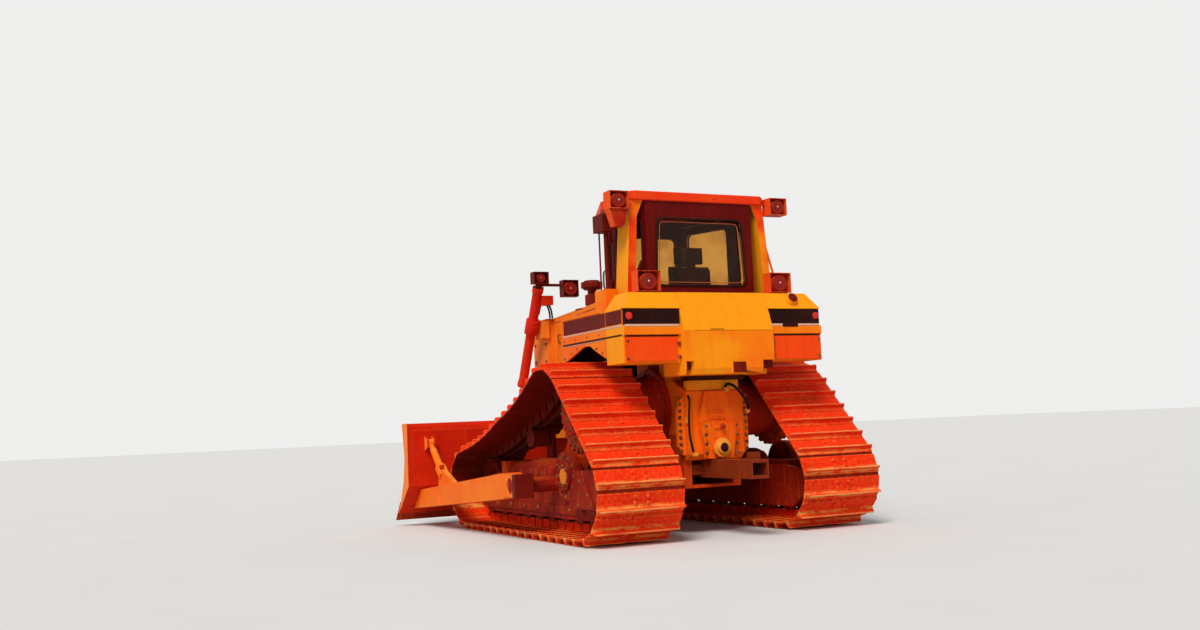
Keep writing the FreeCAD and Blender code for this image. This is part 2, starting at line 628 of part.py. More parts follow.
pivot_parts = [
    rod("frame_pivot_boss", "pivot_boss_r", ("track_y + 120", "track_y + 200"), "pivot_x", "pivot_z"),
    rod("frame_pivot_cap", "pivot_cap_r", ("track_y + 190", "track_y + 222"), "pivot_x", "pivot_z"),
    rod("frame_pivot_inner", "pivot_r + 60", ("track_y - 168", "track_y - 120"), "pivot_x", "pivot_z"),
    strut("recoil_housing", "recoil_r", RECOIL_REAR, RECOIL_FRONT, "track_y", "0", "800"),
    strut("recoil_sleeve", "recoil_r - 30", RECOIL_REAR, RECOIL_FRONT, "track_y", "780", "1350"),
]
GUARD_Y = "track_y + guard_off"
guards = [
    plate("idler_guard", "XZ_Plane",
          [("-190", "330"), ("pivot_x - 215", "330"), ("pivot_x - 255", "400"), ("pivot_x - 335", "500"),
           ("pivot_x - 385", "600"), ("pivot_x - 400", "700"), ("-100", "725")], "16", y=GUARD_Y),
    plate("idler_guard_patch", "XZ_Plane",
          [("20", "345"), ("420", "345"), ("330", "640"), ("210", "650")], "16", y=f"{GUARD_Y} + 15"),
    box("idler_guard_shelf", ("-60", "pivot_x - 400"), ("track_y + 150", f"{GUARD_Y} + 5"), ("600", "620")),
    box("idler_guard_foot", ("-60", "pivot_x - 300"), ("track_y + 150", f"{GUARD_Y} + 5"), ("335", "355")),
    plate("roller_guard", "XZ_Plane",
          [("-40", "255"), ("idler_apart + 40", "255"), ("idler_apart + 40", "345"), ("-40", "345")],
          "16", y="track_y + 175"),
]
track_frame = join("track_frame_whole", [beam] + rails + pivot_parts + guards + [trunnion, carrier_leg,
                                                                                 leg_foot])
seats = [rod(f"axle_seat{number}", "roller_axle_r + play", ("track_y - 146 - play", "track_y + 146 + play"),
             f"roller_first + roller_step * {number}", ROLLER_Z) for number in range(ROLLER_COUNT)]
seats.append(rod("axle_seat_carrier", "carrier_axle_r + play", ("track_y - 150 - play", "track_y"),
                 "carrier_x", CARRIER_AXLE))
pair("track_frame", carve("track_frame_left", track_frame, seats))

# Main frame: two rails, belly guard, front cross member and the equaliser bar that rests on the track frames.
hull = [
    box("hull_floor", ("case_rear + 100", "hull_front - 300"), ("-hull_half", "hull_half"),
        ("hull_low", "hull_low + 30")),
    box("hull_nose", ("hull_front - 40", "hull_front"), ("-hull_half", "hull_half"),
        ("hull_low + 250", "hull_high")),
    plate("hull_slope", "XZ_Plane",
          [("hull_front - 320", "hull_low"), ("hull_front - 290", "hull_low"),
           ("hull_front", "hull_low + 250"),
           ("hull_front", "hull_low + 290")], "hull_half * 2"),
    box("equaliser", ("2560", "2700"), ("-track_y + 165 - 330", "track_y - 165 + 330"),
        ("frame_low + frame_tall + play", "frame_low + frame_tall + 130")),
]
hull.append(rod("pivot_shaft", "pivot_r", ("-track_y + 168 + play", "track_y - 168 - play"), "pivot_x",
                "pivot_z"))
for tag, hand in SIDES:
    inner = "hull_half - hull_rail" if hand > 0 else "-hull_half"
    hull.append(box(f"hull_rail_{tag}", ("case_rear + 100", "hull_front"), (inner, f"({inner}) + hull_rail"),
                    ("hull_low", "hull_high")))
node("main_frame", join("main_frame", hull))

# Transmission case between the final drives, with its bolted rear cover and power take-off cap.
case = [
    plate("case_body", "XZ_Plane",
          [("case_rear + 60", "case_low"), ("case_front", "case_low + 80"), ("case_front", "case_high - 120"),
           ("case_rear + 260", "case_high"), ("case_rear", "case_high - 120"),
           ("case_rear", "case_low + 60")],
          "case_half * 2"),
]
for tag, hand in SIDES:
    reach = f"{hand} * (case_half + ear_wide)"
    case.append(plate(f"case_ear_{tag}", "YZ_Plane",
                      [(f"{hand} * (case_half - 20)", "case_high - 130"),
                       (f"{hand} * (case_half + 40)", "case_high - 200"),
                       (reach, "case_high - 330"), (reach, "case_low + 140"),
                       (f"{hand} * (case_half + 30)", "case_low + 50"),
                       (f"{hand} * (case_half - 20)", "case_low + 70")],
                      "45", x="case_rear + 62"))
    near = "case_half - 210" if hand > 0 else "-case_half + 10"
    for end, foot in (("rear", "400"), ("front", "900")):
        case.append(box(f"cab_mount_{end}_{tag}", (foot, f"{foot} + 240"), (near, f"{near} + 200"),
                        ("case_high - 160", "cab_floor - play")))
rail_room = []
for tag, hand in SIDES:
    span = ("hull_half - hull_rail - play", "case_half + 10")
    if hand < 0:
        span = ("-case_half - 10", "hull_rail - hull_half + play")
    rail_room.append(box(f"case_rail_room_{tag}", ("case_rear + 100 - play", "case_front + 10"), span,
                         ("case_low - 10", "hull_high + play")))
node("rear_case", carve("rear_case", join("rear_case_whole", case), rail_room))
COVER_FACE = "(case_rear - 34.3)"
BOWL_FACE = "(case_rear - 70.3)"
cover = plate("case_cover_plate", "YZ_Plane",
              [("-cover_half", "cover_seam - 8"), ("cover_half", "cover_seam - 8"),
               ("cover_half", "cover_seam + 32"),
               ("cover_half * 0.62", "case_high - 125"), ("-cover_half * 0.62", "case_high - 125"),
               ("-cover_half", "cover_seam + 32")],
              "34", x=f"{COVER_FACE} + 17")
bowl = plate("case_cover_bowl", "YZ_Plane",
             [("-cover_half * 0.75", "case_low + 10"), ("cover_half * 0.75", "case_low + 10"),
              ("cover_half * 0.86", "900"),
              ("cover_half", "cover_seam - 80"), ("cover_half", "cover_seam - 6"),
              ("-cover_half", "cover_seam - 6"),
              ("-cover_half", "cover_seam - 80"), ("-cover_half * 0.86", "900")], "70", x=f"{BOWL_FACE} + 35")
cover_frame = plate("case_cover_frame", "YZ_Plane",
                    [("-90", "cover_seam + 25"), ("90", "cover_seam + 25"), ("90", "cover_seam + 110"),
                     ("-90", "cover_seam + 110")],
                    "16", x=f"{COVER_FACE} - 6",
                    cuts=[[("-74", "cover_seam + 41"), ("74", "cover_seam + 41"), ("74", "cover_seam + 94"),
                           ("-74", "cover_seam + 94")]])


def shaft_end(name, radius, y, z, start, stop):
    """A round boss that points back along the machine, between two distances ahead of the rear idler."""
    return strut(name, radius, (start, z), (stop, z), y, "0", f"({stop}) - ({start})")


caps = [shaft_end("takeoff_ring", "takeoff_r + 18", "0", "takeoff_z", f"{BOWL_FACE} - 14",
                  f"{BOWL_FACE} + 5"),
        shaft_end("takeoff_cap", "takeoff_r", "0", "takeoff_z", f"{BOWL_FACE} - 40", f"{BOWL_FACE} + 5"),
        shaft_end("level_plug", "26", "-20", "cover_seam - 55", f"{BOWL_FACE} - 26", f"{BOWL_FACE} + 5"),
        plate("level_boss", "YZ_Plane", [("-60", "cover_seam - 78"), ("60", "cover_seam - 78"),
                                         ("60", "cover_seam - 32"),
                                         ("-60", "cover_seam - 32")], "20", x=f"{BOWL_FACE} - 5", soft="22")]
node("case_cover", join("case_cover", [cover, bowl, cover_frame] + caps))

# Drawbar: a long box of plates under the case, open at its rear end and bored there for the tow pin,
# with a cross piece between the main frame's rails and a keeper for the pin on top.
JAW_LOW = "(case_low - jaw_tall)"
JAW_HIGH = "(case_low - play)"
TOW_X = "(80 - jaw_behind)"
jaw = [
    box("jaw_top", ("-jaw_behind", "420"), ("-jaw_half", "jaw_half"), (f"{JAW_HIGH} - jaw_thick", JAW_HIGH)),
    box("jaw_bottom", ("-jaw_behind", "420"), ("-jaw_half", "jaw_half"), (JAW_LOW, f"{JAW_LOW} + jaw_thick")),
    box("jaw_back", ("380 - jaw_behind", "420 - jaw_behind"), ("-jaw_half", "jaw_half"),
        (f"{JAW_LOW} + 10", f"{JAW_HIGH} - 10")),
    box("jaw_cross", ("230", "400"), ("hull_rail - hull_half + play", "hull_half - hull_rail - play"),
        (f"{JAW_LOW} + 30", f"{JAW_HIGH} - 50")),
    box("jaw_keeper", (f"{TOW_X} + tow_pin_r + 12", f"{TOW_X} + tow_pin_r + 80"),
        ("15 - jaw_half", "jaw_half - 70"),
        (f"{JAW_HIGH} - 5", f"{JAW_HIGH} + 70")),
]
for tag, hand in SIDES:
    edge = "jaw_half - jaw_side" if hand > 0 else "-jaw_half"
    jaw.append(box(f"jaw_side_{tag}", ("-jaw_behind", "420"), (edge, f"({edge}) + jaw_side"),
                   (f"{JAW_LOW} + 10", f"{JAW_HIGH} - 10")))
jaw_bore = post("jaw_bore", "tow_pin_r", TOW_X, 0, (f"{JAW_LOW} - 10", f"{JAW_HIGH} + 10"))
node("drawbar", carve("drawbar", join("drawbar_whole", jaw), [jaw_bore]))

# Rear tank: side boxes with the dark band, and the middle tank that stands out behind them.
side_profile = [("tank_rear + 14", "skirt_low"), ("tank_front", "skirt_low"), ("tank_front", "tank_high"),
                ("tank_rear + 90", "tank_high"), ("tank_rear", "band_high"), ("tank_rear + 40", "band_high"),
                ("tank_rear + 40", "band_low"), ("tank_rear - 8", "band_low - 20"),
                ("tank_rear - 8", "ledge_low + 20"),
                ("tank_rear + 20", "ledge_low"), ("tank_rear + 14", "ledge_low - 20")]
tank_sides = []
for tag, hand in SIDES:
    tank_sides.append(plate(f"tank_side_{tag}", "XZ_Plane", side_profile, "tank_half - core_half + 10",
                            y=f"{hand} * (tank_half + core_half - 10) / 2"))
shoulder = [plate(f"tank_shoulder_{tag}", "YZ_Plane",
                  [(f"{hand} * (tank_half - 120)", "tank_high + 5"),
                   (f"{hand} * (tank_half + 5)", "tank_high + 5"),
                   (f"{hand} * (tank_half + 5)", "fender_high - 45")],
                  "(tank_front - tank_rear) * 3") for tag, hand in SIDES]
core = plate("tank_core", "XZ_Plane",
             [("core_rear + 20", "core_low"), ("tank_front", "core_low"), ("tank_front", "tank_high"),
              ("tank_rear + 70", "tank_high"), ("core_rear", "band_low - 60"),
              ("core_rear", "core_low + 60")],
             "core_half * 2")
CASE_SLOPE = "120 / 260"
saddle = plate("tank_saddle", "XZ_Plane",
               [("case_rear + 10", f"case_high - 120 + play + 10 * {CASE_SLOPE}"),
                ("tank_front", f"case_high - 120 + play + (tank_front - case_rear) * {CASE_SLOPE}"),
                ("tank_front", "core_low + 20"), ("case_rear + 10", "core_low + 20")], "600")
FILLER = ("tank_rear + 75", "band_high + 84")
FILLER_TIP = ("tank_rear + 75 - (tank_high - band_high) * 0.3", "band_high + 84 + 90 * 0.3")
tank_fittings = [
    strut("filler_neck", 70, FILLER, FILLER_TIP, "-830", "0", "44"),
    strut("filler_cap", 60, FILLER, FILLER_TIP, "-830", "20", "66"),
    box("tank_catch", ("core_rear - 24", "core_rear + 30"), ("-162", "-6"),
        ("core_low + 5", "core_low + 115")),
]
tank_notches = [
    box("tank_notch_left", ("core_rear - 40", "core_rear + 160"), ("core_half - 95", "core_half - 14"),
        ("core_low - 10", "core_low + 130")),
    box("tank_notch_right", ("core_rear - 40", "core_rear + 160"), ("-core_half - 10", "140 - core_half"),
        ("core_low - 10", "core_low + 133")),
]
node("fuel_tank", carve("fuel_tank", join("fuel_tank_whole", tank_sides + [core, saddle] + tank_fittings),
                        shoulder + tank_notches))

# Fenders over the tracks, with the dark band, the skirt and its arch over the sprocket.
fender_box = plate("fender_box", "XZ_Plane",
                   [("tank_front + play", "ledge_low"), ("fender_front", "ledge_low + 20"),
                    ("fender_front", "fender_high - 10"),
                    ("tank_front + play", "fender_high")],
                   "tank_half - fender_inner", y="(tank_half + fender_inner) / 2")
skirt = plate("fender_skirt", "XZ_Plane",
              [("tank_front + play", "skirt_low + 60"), ("420", "1870"), ("560", "1935"), ("700", "1940"),
               ("840", "1900"),
               ("1100", "skirt_low + 110"), ("fender_front", "skirt_low + 80"),
               ("fender_front", "ledge_low + 10"),
               ("tank_front + play", "ledge_low + 10")],
              "skirt_thick", y="tank_half - skirt_thick / 2")
band_cut = box("fender_band_cut", ("tank_front + 120", "fender_front - 30"),
               ("tank_half - 14", "tank_half + 10"),
               ("band_low", "band_high"))
fender = carve("fender_plain", join("fender_whole", [fender_box, skirt]), [band_cut])
node("fender_right", across("fender_right", fender))
locker = box("fender_locker", ("300", "540"), ("fender_inner + 105", "fender_inner + 255"),
             ("fender_high - 20", "fender_high + 200"))
node("fender_left", join("fender_left", [fender, locker]))

# Cab: floor pan and six walls with their windows. Its sides flare from the rear wall and turn in to the nose.
FLARE = "atan2(cab_side - cab_rear_half; cab_corner - cab_rear)"
TURN_IN = "atan2(cab_side - cab_nose_half; cab_nose - cab_corner)"
TURN_BOTH = f"{FLARE} + {TURN_IN}"
cab_plan = [("cab_rear", "cab_rear_half"), ("cab_rear", "-cab_rear_half"), ("cab_corner", "-cab_side"),
            ("cab_nose", "-cab_nose_half"), ("cab_nose", "cab_nose_half"), ("cab_corner", "cab_side")]
INNER_REAR = f"cab_rear_half - cab_wall * cos({FLARE}) / (1 + sin({FLARE}))"
INNER_NOSE = f"cab_nose_half - cab_wall * cos({TURN_IN}) / (1 + sin({TURN_IN}))"
INNER_CORNER = f"cab_corner - cab_wall * (sin({TURN_IN}) - sin({FLARE})) / (1 + cos({TURN_BOTH}))"
INNER_SIDE = f"cab_side - cab_wall * (cos({TURN_IN}) + cos({FLARE})) / (1 + cos({TURN_BOTH}))"
inner_plan = [("cab_rear + cab_wall", INNER_REAR), ("cab_rear + cab_wall", f"-({INNER_REAR})"),
              (INNER_CORNER, f"-({INNER_SIDE})"), ("cab_nose - cab_wall", f"-({INNER_NOSE})"),
              ("cab_nose - cab_wall", INNER_NOSE), (INNER_CORNER, INNER_SIDE)]
CAB_MID = "(cab_floor + cab_eave) / 2"
walls = plate("cab_walls", "XY_Plane", cab_plan, "cab_eave - cab_floor", z=CAB_MID)
hollow = plate("cab_hollow", "XY_Plane", inner_plan, "cab_eave - cab_floor - 60", z=f"{CAB_MID} + 31")
WINDOW_LOW = "cab_sill + window_rise"
WINDOW_HIGH = "cab_eave - window_head"
SEAT_OF_GLASS = "play + 0.1"


def wall_plate(name, wall, outline, outer, inner, soft=None):
    """A plate laid along a left-hand wall: outline is (along it, height), outer and inner off its face."""
    (x, y), turn = wall
    middle = f"(({outer}) + ({inner})) / 2"
    return plate(name, "XZ_Plane", outline, f"({outer}) - ({inner})", x=f"{x} - ({middle}) * sin({turn})",
                 y=f"{y} + ({middle}) * cos({turn})", axis=V(0, 0, 1), turn=turn, soft=soft)


def wall_block(name, wall, near, far, low, high, outer, inner, soft=None):
    """A square-cut plate laid along a left-hand wall."""
    return wall_plate(name, wall, [(near, low), (far, low), (far, high), (near, high)], outer, inner, soft)


def rear_outline(gap):
    """The rear window, a little narrower at its top."""
    return [(f"-cab_rear_half + window_side + {gap}", f"{WINDOW_LOW} + {gap}"),
            (f"cab_rear_half - window_side - {gap}", f"{WINDOW_LOW} + {gap}"),
            (f"cab_rear_half - window_side - window_taper - {gap}", f"{WINDOW_HIGH} - {gap}"),
            (f"-cab_rear_half + window_side + window_taper + {gap}", f"{WINDOW_HIGH} - {gap}")]


def front_outline(gap):
    """The front window, upright at its sides."""
    return [(f"-cab_nose_half + nose_side + {gap}", f"{WINDOW_LOW} + {gap}"),
            (f"cab_nose_half - nose_side - {gap}", f"{WINDOW_LOW} + {gap}"),
            (f"cab_nose_half - nose_side - {gap}", f"{WINDOW_HIGH} - {gap}"),
            (f"-cab_nose_half + nose_side + {gap}", f"{WINDOW_HIGH} - {gap}")]


QUARTER = (("cab_rear", "cab_rear_half"), FLARE)
QUARTER_LONG = "sqrt((cab_side - cab_rear_half)^2 + (cab_corner - cab_rear)^2)"
quarter_cut = wall_block("quarter_window_cut", QUARTER, "quarter_side", f"{QUARTER_LONG} - quarter_side",
                         WINDOW_LOW, WINDOW_HIGH,
                         "60", "-120", "window_round")
windows = [
    plate("rear_window_cut", "YZ_Plane", rear_outline("0"), "cab_wall * 4", x="cab_rear",
          soft="window_round"),
    plate("front_window_cut", "YZ_Plane", front_outline("0"), "cab_wall * 4", x="cab_nose",
          soft="window_round"),
    quarter_cut, across("quarter_window_cut_right", quarter_cut),
]
DOOR = (("cab_corner", "cab_side"), f"(-1 * {TURN_IN})")
DOOR_LONG = "sqrt((cab_side - cab_nose_half)^2 + (cab_nose - cab_corner)^2)"
DOOR_LOW = "fender_high + door_foot"
DOOR_HIGH = "cab_eave - door_head"
door_hole = wall_block("door_hole", DOOR, "door_near", f"{DOOR_LONG} - door_far", DOOR_LOW, DOOR_HIGH, "60",
                       "-120")
HINGE_NEAR = f"cab_corner + door_near * cos({TURN_IN}) + 18 * sin({TURN_IN})"
HINGE_OFF = f"cab_side - door_near * sin({TURN_IN}) + 18 * cos({TURN_IN})"
shell_blocks = []
leaf_blocks = []
leaf_rooms = []
for number, low in enumerate((f"{DOOR_LOW} + 120", f"{DOOR_HIGH} - 300")):
    high = f"({low}) + 180"
    blocks = [wall_block(f"door_hinge_base{number}_{end}", DOOR, "0", "door_near", at, f"{at} + 40", "18",
                         "-20")
              for end, at in (("low", low), ("high", f"({low}) + 140"))]
    tongue = wall_block(f"door_hinge_tongue{number}", DOOR, "door_near", "door_near + 45", f"({low}) + 45",
                        f"({low}) + 135", "26", "-20")
    fixed, moving, room = hinge_parts(f"door_hinge{number}", HINGE_NEAR, HINGE_OFF, low, high, blocks,
                                      [tongue])
    shell_blocks += fixed
    leaf_blocks += moving
    leaf_rooms.append(room)
shell_hinges = join("door_hinges_left", shell_blocks)
shell = carve("cab_shell_open", walls, [hollow] + windows + [door_hole, across("door_hole_right", door_hole)])
node("cab_shell", join("cab_shell", [shell, shell_hinges, across("door_hinges_right", shell_hinges)]))

LEAF_NEAR = "door_near + swing_gap"
LEAF_FAR = f"{DOOR_LONG} - door_far - swing_gap"
leaf = wall_block("door_leaf", DOOR, LEAF_NEAR, LEAF_FAR, f"{DOOR_LOW} + swing_gap",
                  f"{DOOR_HIGH} - swing_gap",
                  "2", "2 - cab_wall")


def pane_block(name, gap, outer, inner, soft):
    """A door's window opening, or its pane with a gap round it."""
    return wall_block(name, DOOR, f"{LEAF_NEAR} + door_margin + {gap}", f"{LEAF_FAR} - door_margin - {gap}",
                      f"{DOOR_LOW} + swing_gap + 130 + {gap}", f"{DOOR_HIGH} - swing_gap - 80 - {gap}",
                      outer, inner, soft)


pane_hole = pane_block("door_pane_hole", "0", "30", "-100", "window_round")
pair("cab_door", carve("cab_door_left", join("door_leaf_whole", [leaf] + leaf_blocks),
                       [pane_hole] + leaf_rooms))
pair("door_glass", pane_block("door_pane", SEAT_OF_GLASS, "-15", "-15 - glass_thick",
                              f"window_round - ({SEAT_OF_GLASS})"))

glass_round = f"window_round - ({SEAT_OF_GLASS})"
quarter_glass = wall_block("quarter_glass", QUARTER, f"quarter_side + {SEAT_OF_GLASS}",
                           f"{QUARTER_LONG} - quarter_side - ({SEAT_OF_GLASS})",
                           f"{WINDOW_LOW} + {SEAT_OF_GLASS}", f"{WINDOW_HIGH} - ({SEAT_OF_GLASS})",
                           "-15", "-15 - glass_thick", glass_round)
node("cab_glass", gather("cab_glass", [
    plate("rear_glass", "YZ_Plane", rear_outline(f"({SEAT_OF_GLASS})"), "glass_thick",
          x="cab_rear + cab_wall / 2",
          soft=glass_round),
    plate("front_glass", "YZ_Plane", front_outline(f"({SEAT_OF_GLASS})"), "glass_thick",
          x="cab_nose - cab_wall / 2",
          soft=glass_round),
    quarter_glass, across("quarter_glass_right", quarter_glass),
]))

roof = plate("cab_roof_slab", "XY_Plane",
             [("roof_rear", "roof_half - 60"), ("roof_rear", "-roof_half + 60"),
              ("roof_rear + 60", "-roof_half"),
              ("cab_corner + 140", "-roof_half"), ("roof_front", "-cab_nose_half - 60"),
              ("roof_front", "cab_nose_half + 60"), ("cab_corner + 140", "roof_half"),
              ("roof_rear + 60", "roof_half")],
             "roof_thick - play", z="cab_eave + play + (roof_thick - play) / 2")
node("cab_roof", roof)

# Seat on its pedestal, and the control console beside it.
FLOOR_TOP = "cab_floor + 61"
node("seat", join("seat", [
    box("seat_stem", ("620", "860"), ("-150", "150"), (FLOOR_TOP, "cab_floor + seat_high * 0.3")),
    box("seat_base", ("520", "1000"), ("-260", "260"), ("cab_floor + seat_high * 0.28",
                                                        "cab_floor + seat_high * 0.38")),
    box("seat_back", ("420", "540"), ("-250", "250"), ("cab_floor + seat_high * 0.3",
                                                       "cab_floor + seat_high")),
]))
node("console", gather("console", [
    box("console_dash", ("1240", "cab_nose - cab_wall - 1"), ("-300", "300"),
        (FLOOR_TOP, "cab_floor + dash_high")),
    box("console_left", ("600", "1000"), ("300", "420"), (FLOOR_TOP, "cab_floor + armrest_high")),
    box("console_right", ("600", "1000"), ("-420", "-300"), (FLOOR_TOP, "cab_floor + armrest_high")),
]))

# Roll-over posts beside the cab, leaning in from the fenders to the roof, each on a foot and with a
# gusset on top.
POST_MID = "cab_rear + post_deep / 2 + 15"
POST_TOP = "cab_eave - play"
posts = []
for tag, hand in SIDES:
    posts.append(plate(f"post_{tag}", "YZ_Plane",
                       [(f"{hand} * post_foot_y", "fender_high + play"),
                        (f"{hand} * (post_foot_y + post_wide)", "fender_high + play"),
                        (f"{hand} * (post_head_y + post_wide - 10)", POST_TOP),
                        (f"{hand} * post_head_y", POST_TOP)],
                       "post_deep", x=POST_MID))
    posts.append(plate(f"post_gusset_{tag}", "YZ_Plane",
                       [(f"{hand} * (post_head_y + 40)", f"{POST_TOP} - 230"),
                        (f"{hand} * (post_head_y + 40)", POST_TOP),
                        (f"{hand} * (cab_rear_half + 22)", POST_TOP)], "16", x="cab_rear + 23"))
    foot = ("post_foot_y - 15",
            "post_foot_y + post_wide + 40") if hand > 0 else ("-post_foot_y - post_wide - 40",
                                                              "15 - post_foot_y")
    posts.append(box(f"post_foot_{tag}", ("cab_rear + 2", "cab_rear + post_deep + 40"), foot,
                     ("fender_high + play", "fender_high + 24")))
posts.append(side_strut("post_rail", "12", ("-post_foot_y - post_wide - 160", "fender_high + 4"),
                        ("5 - post_head_y - post_wide", "cab_eave - 230"), "cab_rear + 80"))
node("rollover_posts", gather("rollover_posts", [join("post_set_left", posts[:3]),
                                                 join("post_set_right", posts[3:])]))

# Mirror and lamp head on two thin uprights beside the left door.
MIRROR_Y = "fender_inner + 130"
node("mirror_left", join("mirror_left", [
    post("mirror_upright", 20, "490", MIRROR_Y, ("fender_high + 200 + play", "cab_eave - 270")),
    post("mirror_rod", 9, "635", MIRROR_Y, ("fender_high + play", "cab_eave - 270")),
    box("mirror_head", ("425", "650"), (f"{MIRROR_Y} - 60", f"{MIRROR_Y} + 60"),
        ("cab_eave - 285", "cab_eave - 110")),
]))

# Engine: one block at its real place and size, on the main frame's rails.
node("engine_block", box("engine_block", ("hood_rear + 170", "guard_rear - 130"), ("-300", "300"),
                         ("hull_high + play", "hood_front_high - 330")))

hood = plate("hood_shell", "XZ_Plane",
             [("hood_rear", "hood_rear_high - 60"), ("guard_rear - 1", "hood_front_high - 60"),
              ("guard_rear - 1", "hood_front_high"), ("hood_rear", "hood_rear_high")], "hood_half * 2")
BOSS_TOP = "hood_rear_high - 10"
STACK = ("stack_x", "stack_y")
CLEANER = ("cleaner_x", "cleaner_y")
node("hood", join("hood", [hood, post("stack_boss", "stack_r + 23", STACK[0], STACK[1],
                                      ("hood_front_high", BOSS_TOP)),
                           post("cleaner_boss", 74, CLEANER[0], CLEANER[1], ("hood_front_high", BOSS_TOP))]))
HOOD_FALL = "(hood_rear_high - hood_front_high) / (guard_rear - hood_rear)"
HOOD_UNDER = f"(hood_rear_high - 60 - (engine_door_front - hood_rear) * {HOOD_FALL})"
firewall = [
    box("firewall_wall", ("hood_rear", "hood_rear + 30"), ("-hood_half", "hood_half"),
        ("hull_high + play", f"hood_rear_high - 60 - play - 30 * {HOOD_FALL}")),
]
ENGINE_HINGE = ("hood_rear + 34", "hood_half + 16")
panel = plate("engine_door_panel", "XZ_Plane",
              [("hood_rear + 30 + swing_gap", "bay_low"), ("engine_door_front", "bay_low"),
               ("engine_door_front", f"{HOOD_UNDER} - swing_gap"),
               ("hood_rear + 30 + swing_gap", "hood_rear_high - 64 - swing_gap")],
              "panel_thick", y="hood_half - panel_thick / 2")
door_blocks = []
door_rooms = []
wall_blocks = []
for number, low in enumerate(("bay_low + 90", "hood_front_high - 330")):
    blocks = [box(f"engine_hinge_base{number}_{end}", ("hood_rear + 4", "hood_rear + 34"),
                  ("hood_half - 12", "hood_half + 16"),
                  (at, f"{at} + 40")) for end, at in (("low", low), ("high", f"({low}) + 140"))]
    tongue = box(f"engine_hinge_tongue{number}", ("hood_rear + 34", "hood_rear + 90"),
                 ("hood_half - 6", "hood_half + 24"),
                 (f"({low}) + 45", f"({low}) + 135"))
    fixed, moving, room = hinge_parts(f"engine_hinge{number}", *ENGINE_HINGE, low, f"({low}) + 180", blocks,
                                      [tongue])
    wall_blocks += fixed
    door_blocks += moving
    door_rooms.append(room)
wall_hinges = join("engine_hinges_left", wall_blocks)
node("firewall", join("firewall", firewall + [wall_hinges, across("engine_hinges_right", wall_hinges)]))
pair("engine_door", carve("engine_door_left", join("engine_door_whole", [panel] + door_blocks), door_rooms))

guard = carve("radiator_guard_block", box("guard_block", ("guard_rear", "guard_front"),
                                          ("-guard_half", "guard_half"),
                                          ("hull_high + play", "hood_front_high")),
              [box("guard_hollow", ("guard_front - grille_deep", "guard_front + 10"),
                   ("-guard_half + 60", "guard_half - 60"),
                   ("grille_low - 20", "hood_front_high - 80"))])
side_plates = [box(f"bay_side_{tag}", ("engine_door_front + swing_gap", "guard_rear + 5"),
                   ("hood_half - panel_thick", "hood_half") if hand > 0
                   else ("-hood_half", "panel_thick - hood_half"),
                   ("bay_low", "hood_front_high - 60 - play")) for tag, hand in SIDES]
GRILLE_HINGE = ("guard_front + 16", "guard_half - 56")
guard_blocks = []
grille_blocks = []
grille_rooms = []
for number, low in enumerate(("grille_low + 100", "hood_front_high - 360")):
    blocks = [box(f"grille_hinge_base{number}_{end}", ("guard_front - 10", "guard_front + 16"),
                  ("guard_half - 56", "guard_half - 26"), (at, f"{at} + 40"))
              for end, at in (("low", low), ("high", f"({low}) + 140"))]
    tongue_z = (f"({low}) + 45", f"({low}) + 135")
    tongues = [box(f"grille_hinge_tongue{number}", ("guard_front - 8", "guard_front + 24"),
                   ("guard_half - 110", "guard_half - 70"), tongue_z),
               box(f"grille_hinge_bridge{number}", ("guard_front + swing_gap", "guard_front + 24"),
                   ("guard_half - 75", "guard_half - 56"), tongue_z)]
    fixed, moving, room = hinge_parts(f"grille_hinge{number}", *GRILLE_HINGE, low, f"({low}) + 180", blocks,
                                      tongues)
    guard_blocks += fixed
    grille_blocks += moving
    grille_rooms.append(room)
node("radiator_guard", join("radiator_guard", [guard] + side_plates + guard_blocks))
bars = [plate("grille_frame", "YZ_Plane",
              [("-guard_half + 60 + swing_gap", "grille_low"), ("guard_half - 60 - swing_gap", "grille_low"),
               ("guard_half - 60 - swing_gap", "hood_front_high - 100"),
               ("-guard_half + 60 + swing_gap", "hood_front_high - 100")],
              "40", x="guard_front - 20",
              cuts=[[("-guard_half + 120", "grille_low + 60"), ("guard_half - 120", "grille_low + 60"),
                     ("guard_half - 120", "hood_front_high - 160"),
                     ("-guard_half + 120", "hood_front_high - 160")]])]
for number in range(7):
    bars.append(box(f"grille_bar{number}", ("guard_front - 32", "guard_front - 8"),
                    (f"-guard_half + 170 + {number} * (guard_half - 180) / 3.2",
                     f"-guard_half + 182 + {number} * (guard_half - 180) / 3.2"),
                    ("grille_low + 50", "hood_front_high - 150")))
node("grille_door", carve("grille_door", join("grille_door_whole", bars + grille_blocks), grille_rooms))

# Exhaust stack and air pre-cleaner on the hood.
STACK_TOP = "hood_front_high + stack_above"
node("exhaust_stack", join("exhaust_stack", [
    post("stack_pipe", "stack_r", *STACK, (f"{BOSS_TOP} + play", STACK_TOP)),
    post("stack_collar", "stack_r + 14", *STACK, (f"{BOSS_TOP} + play", f"{BOSS_TOP} + 60")),
    side_strut("stack_tip", "stack_r + 5", ("stack_y", f"{STACK_TOP} - 30"),
               ("stack_y - 50", f"{STACK_TOP} + 80"), "stack_x"),
]))
CLEANER_TOP = "hood_front_high + cleaner_above"
node("air_precleaner", join("air_precleaner", [
    post("cleaner_stem", 52, *CLEANER, (f"{BOSS_TOP} + play", f"{CLEANER_TOP} - 80")),
    post("cleaner_bowl", "cleaner_r * 0.8", *CLEANER, (f"{CLEANER_TOP} - 105", f"{CLEANER_TOP} - 70")),
    post("cleaner_cap", "cleaner_r", *CLEANER, (f"{CLEANER_TOP} - 85", f"{CLEANER_TOP} - 18")),
    post("cleaner_crown", "cleaner_r * 0.7", *CLEANER, (f"{CLEANER_TOP} - 30", CLEANER_TOP)),
]))

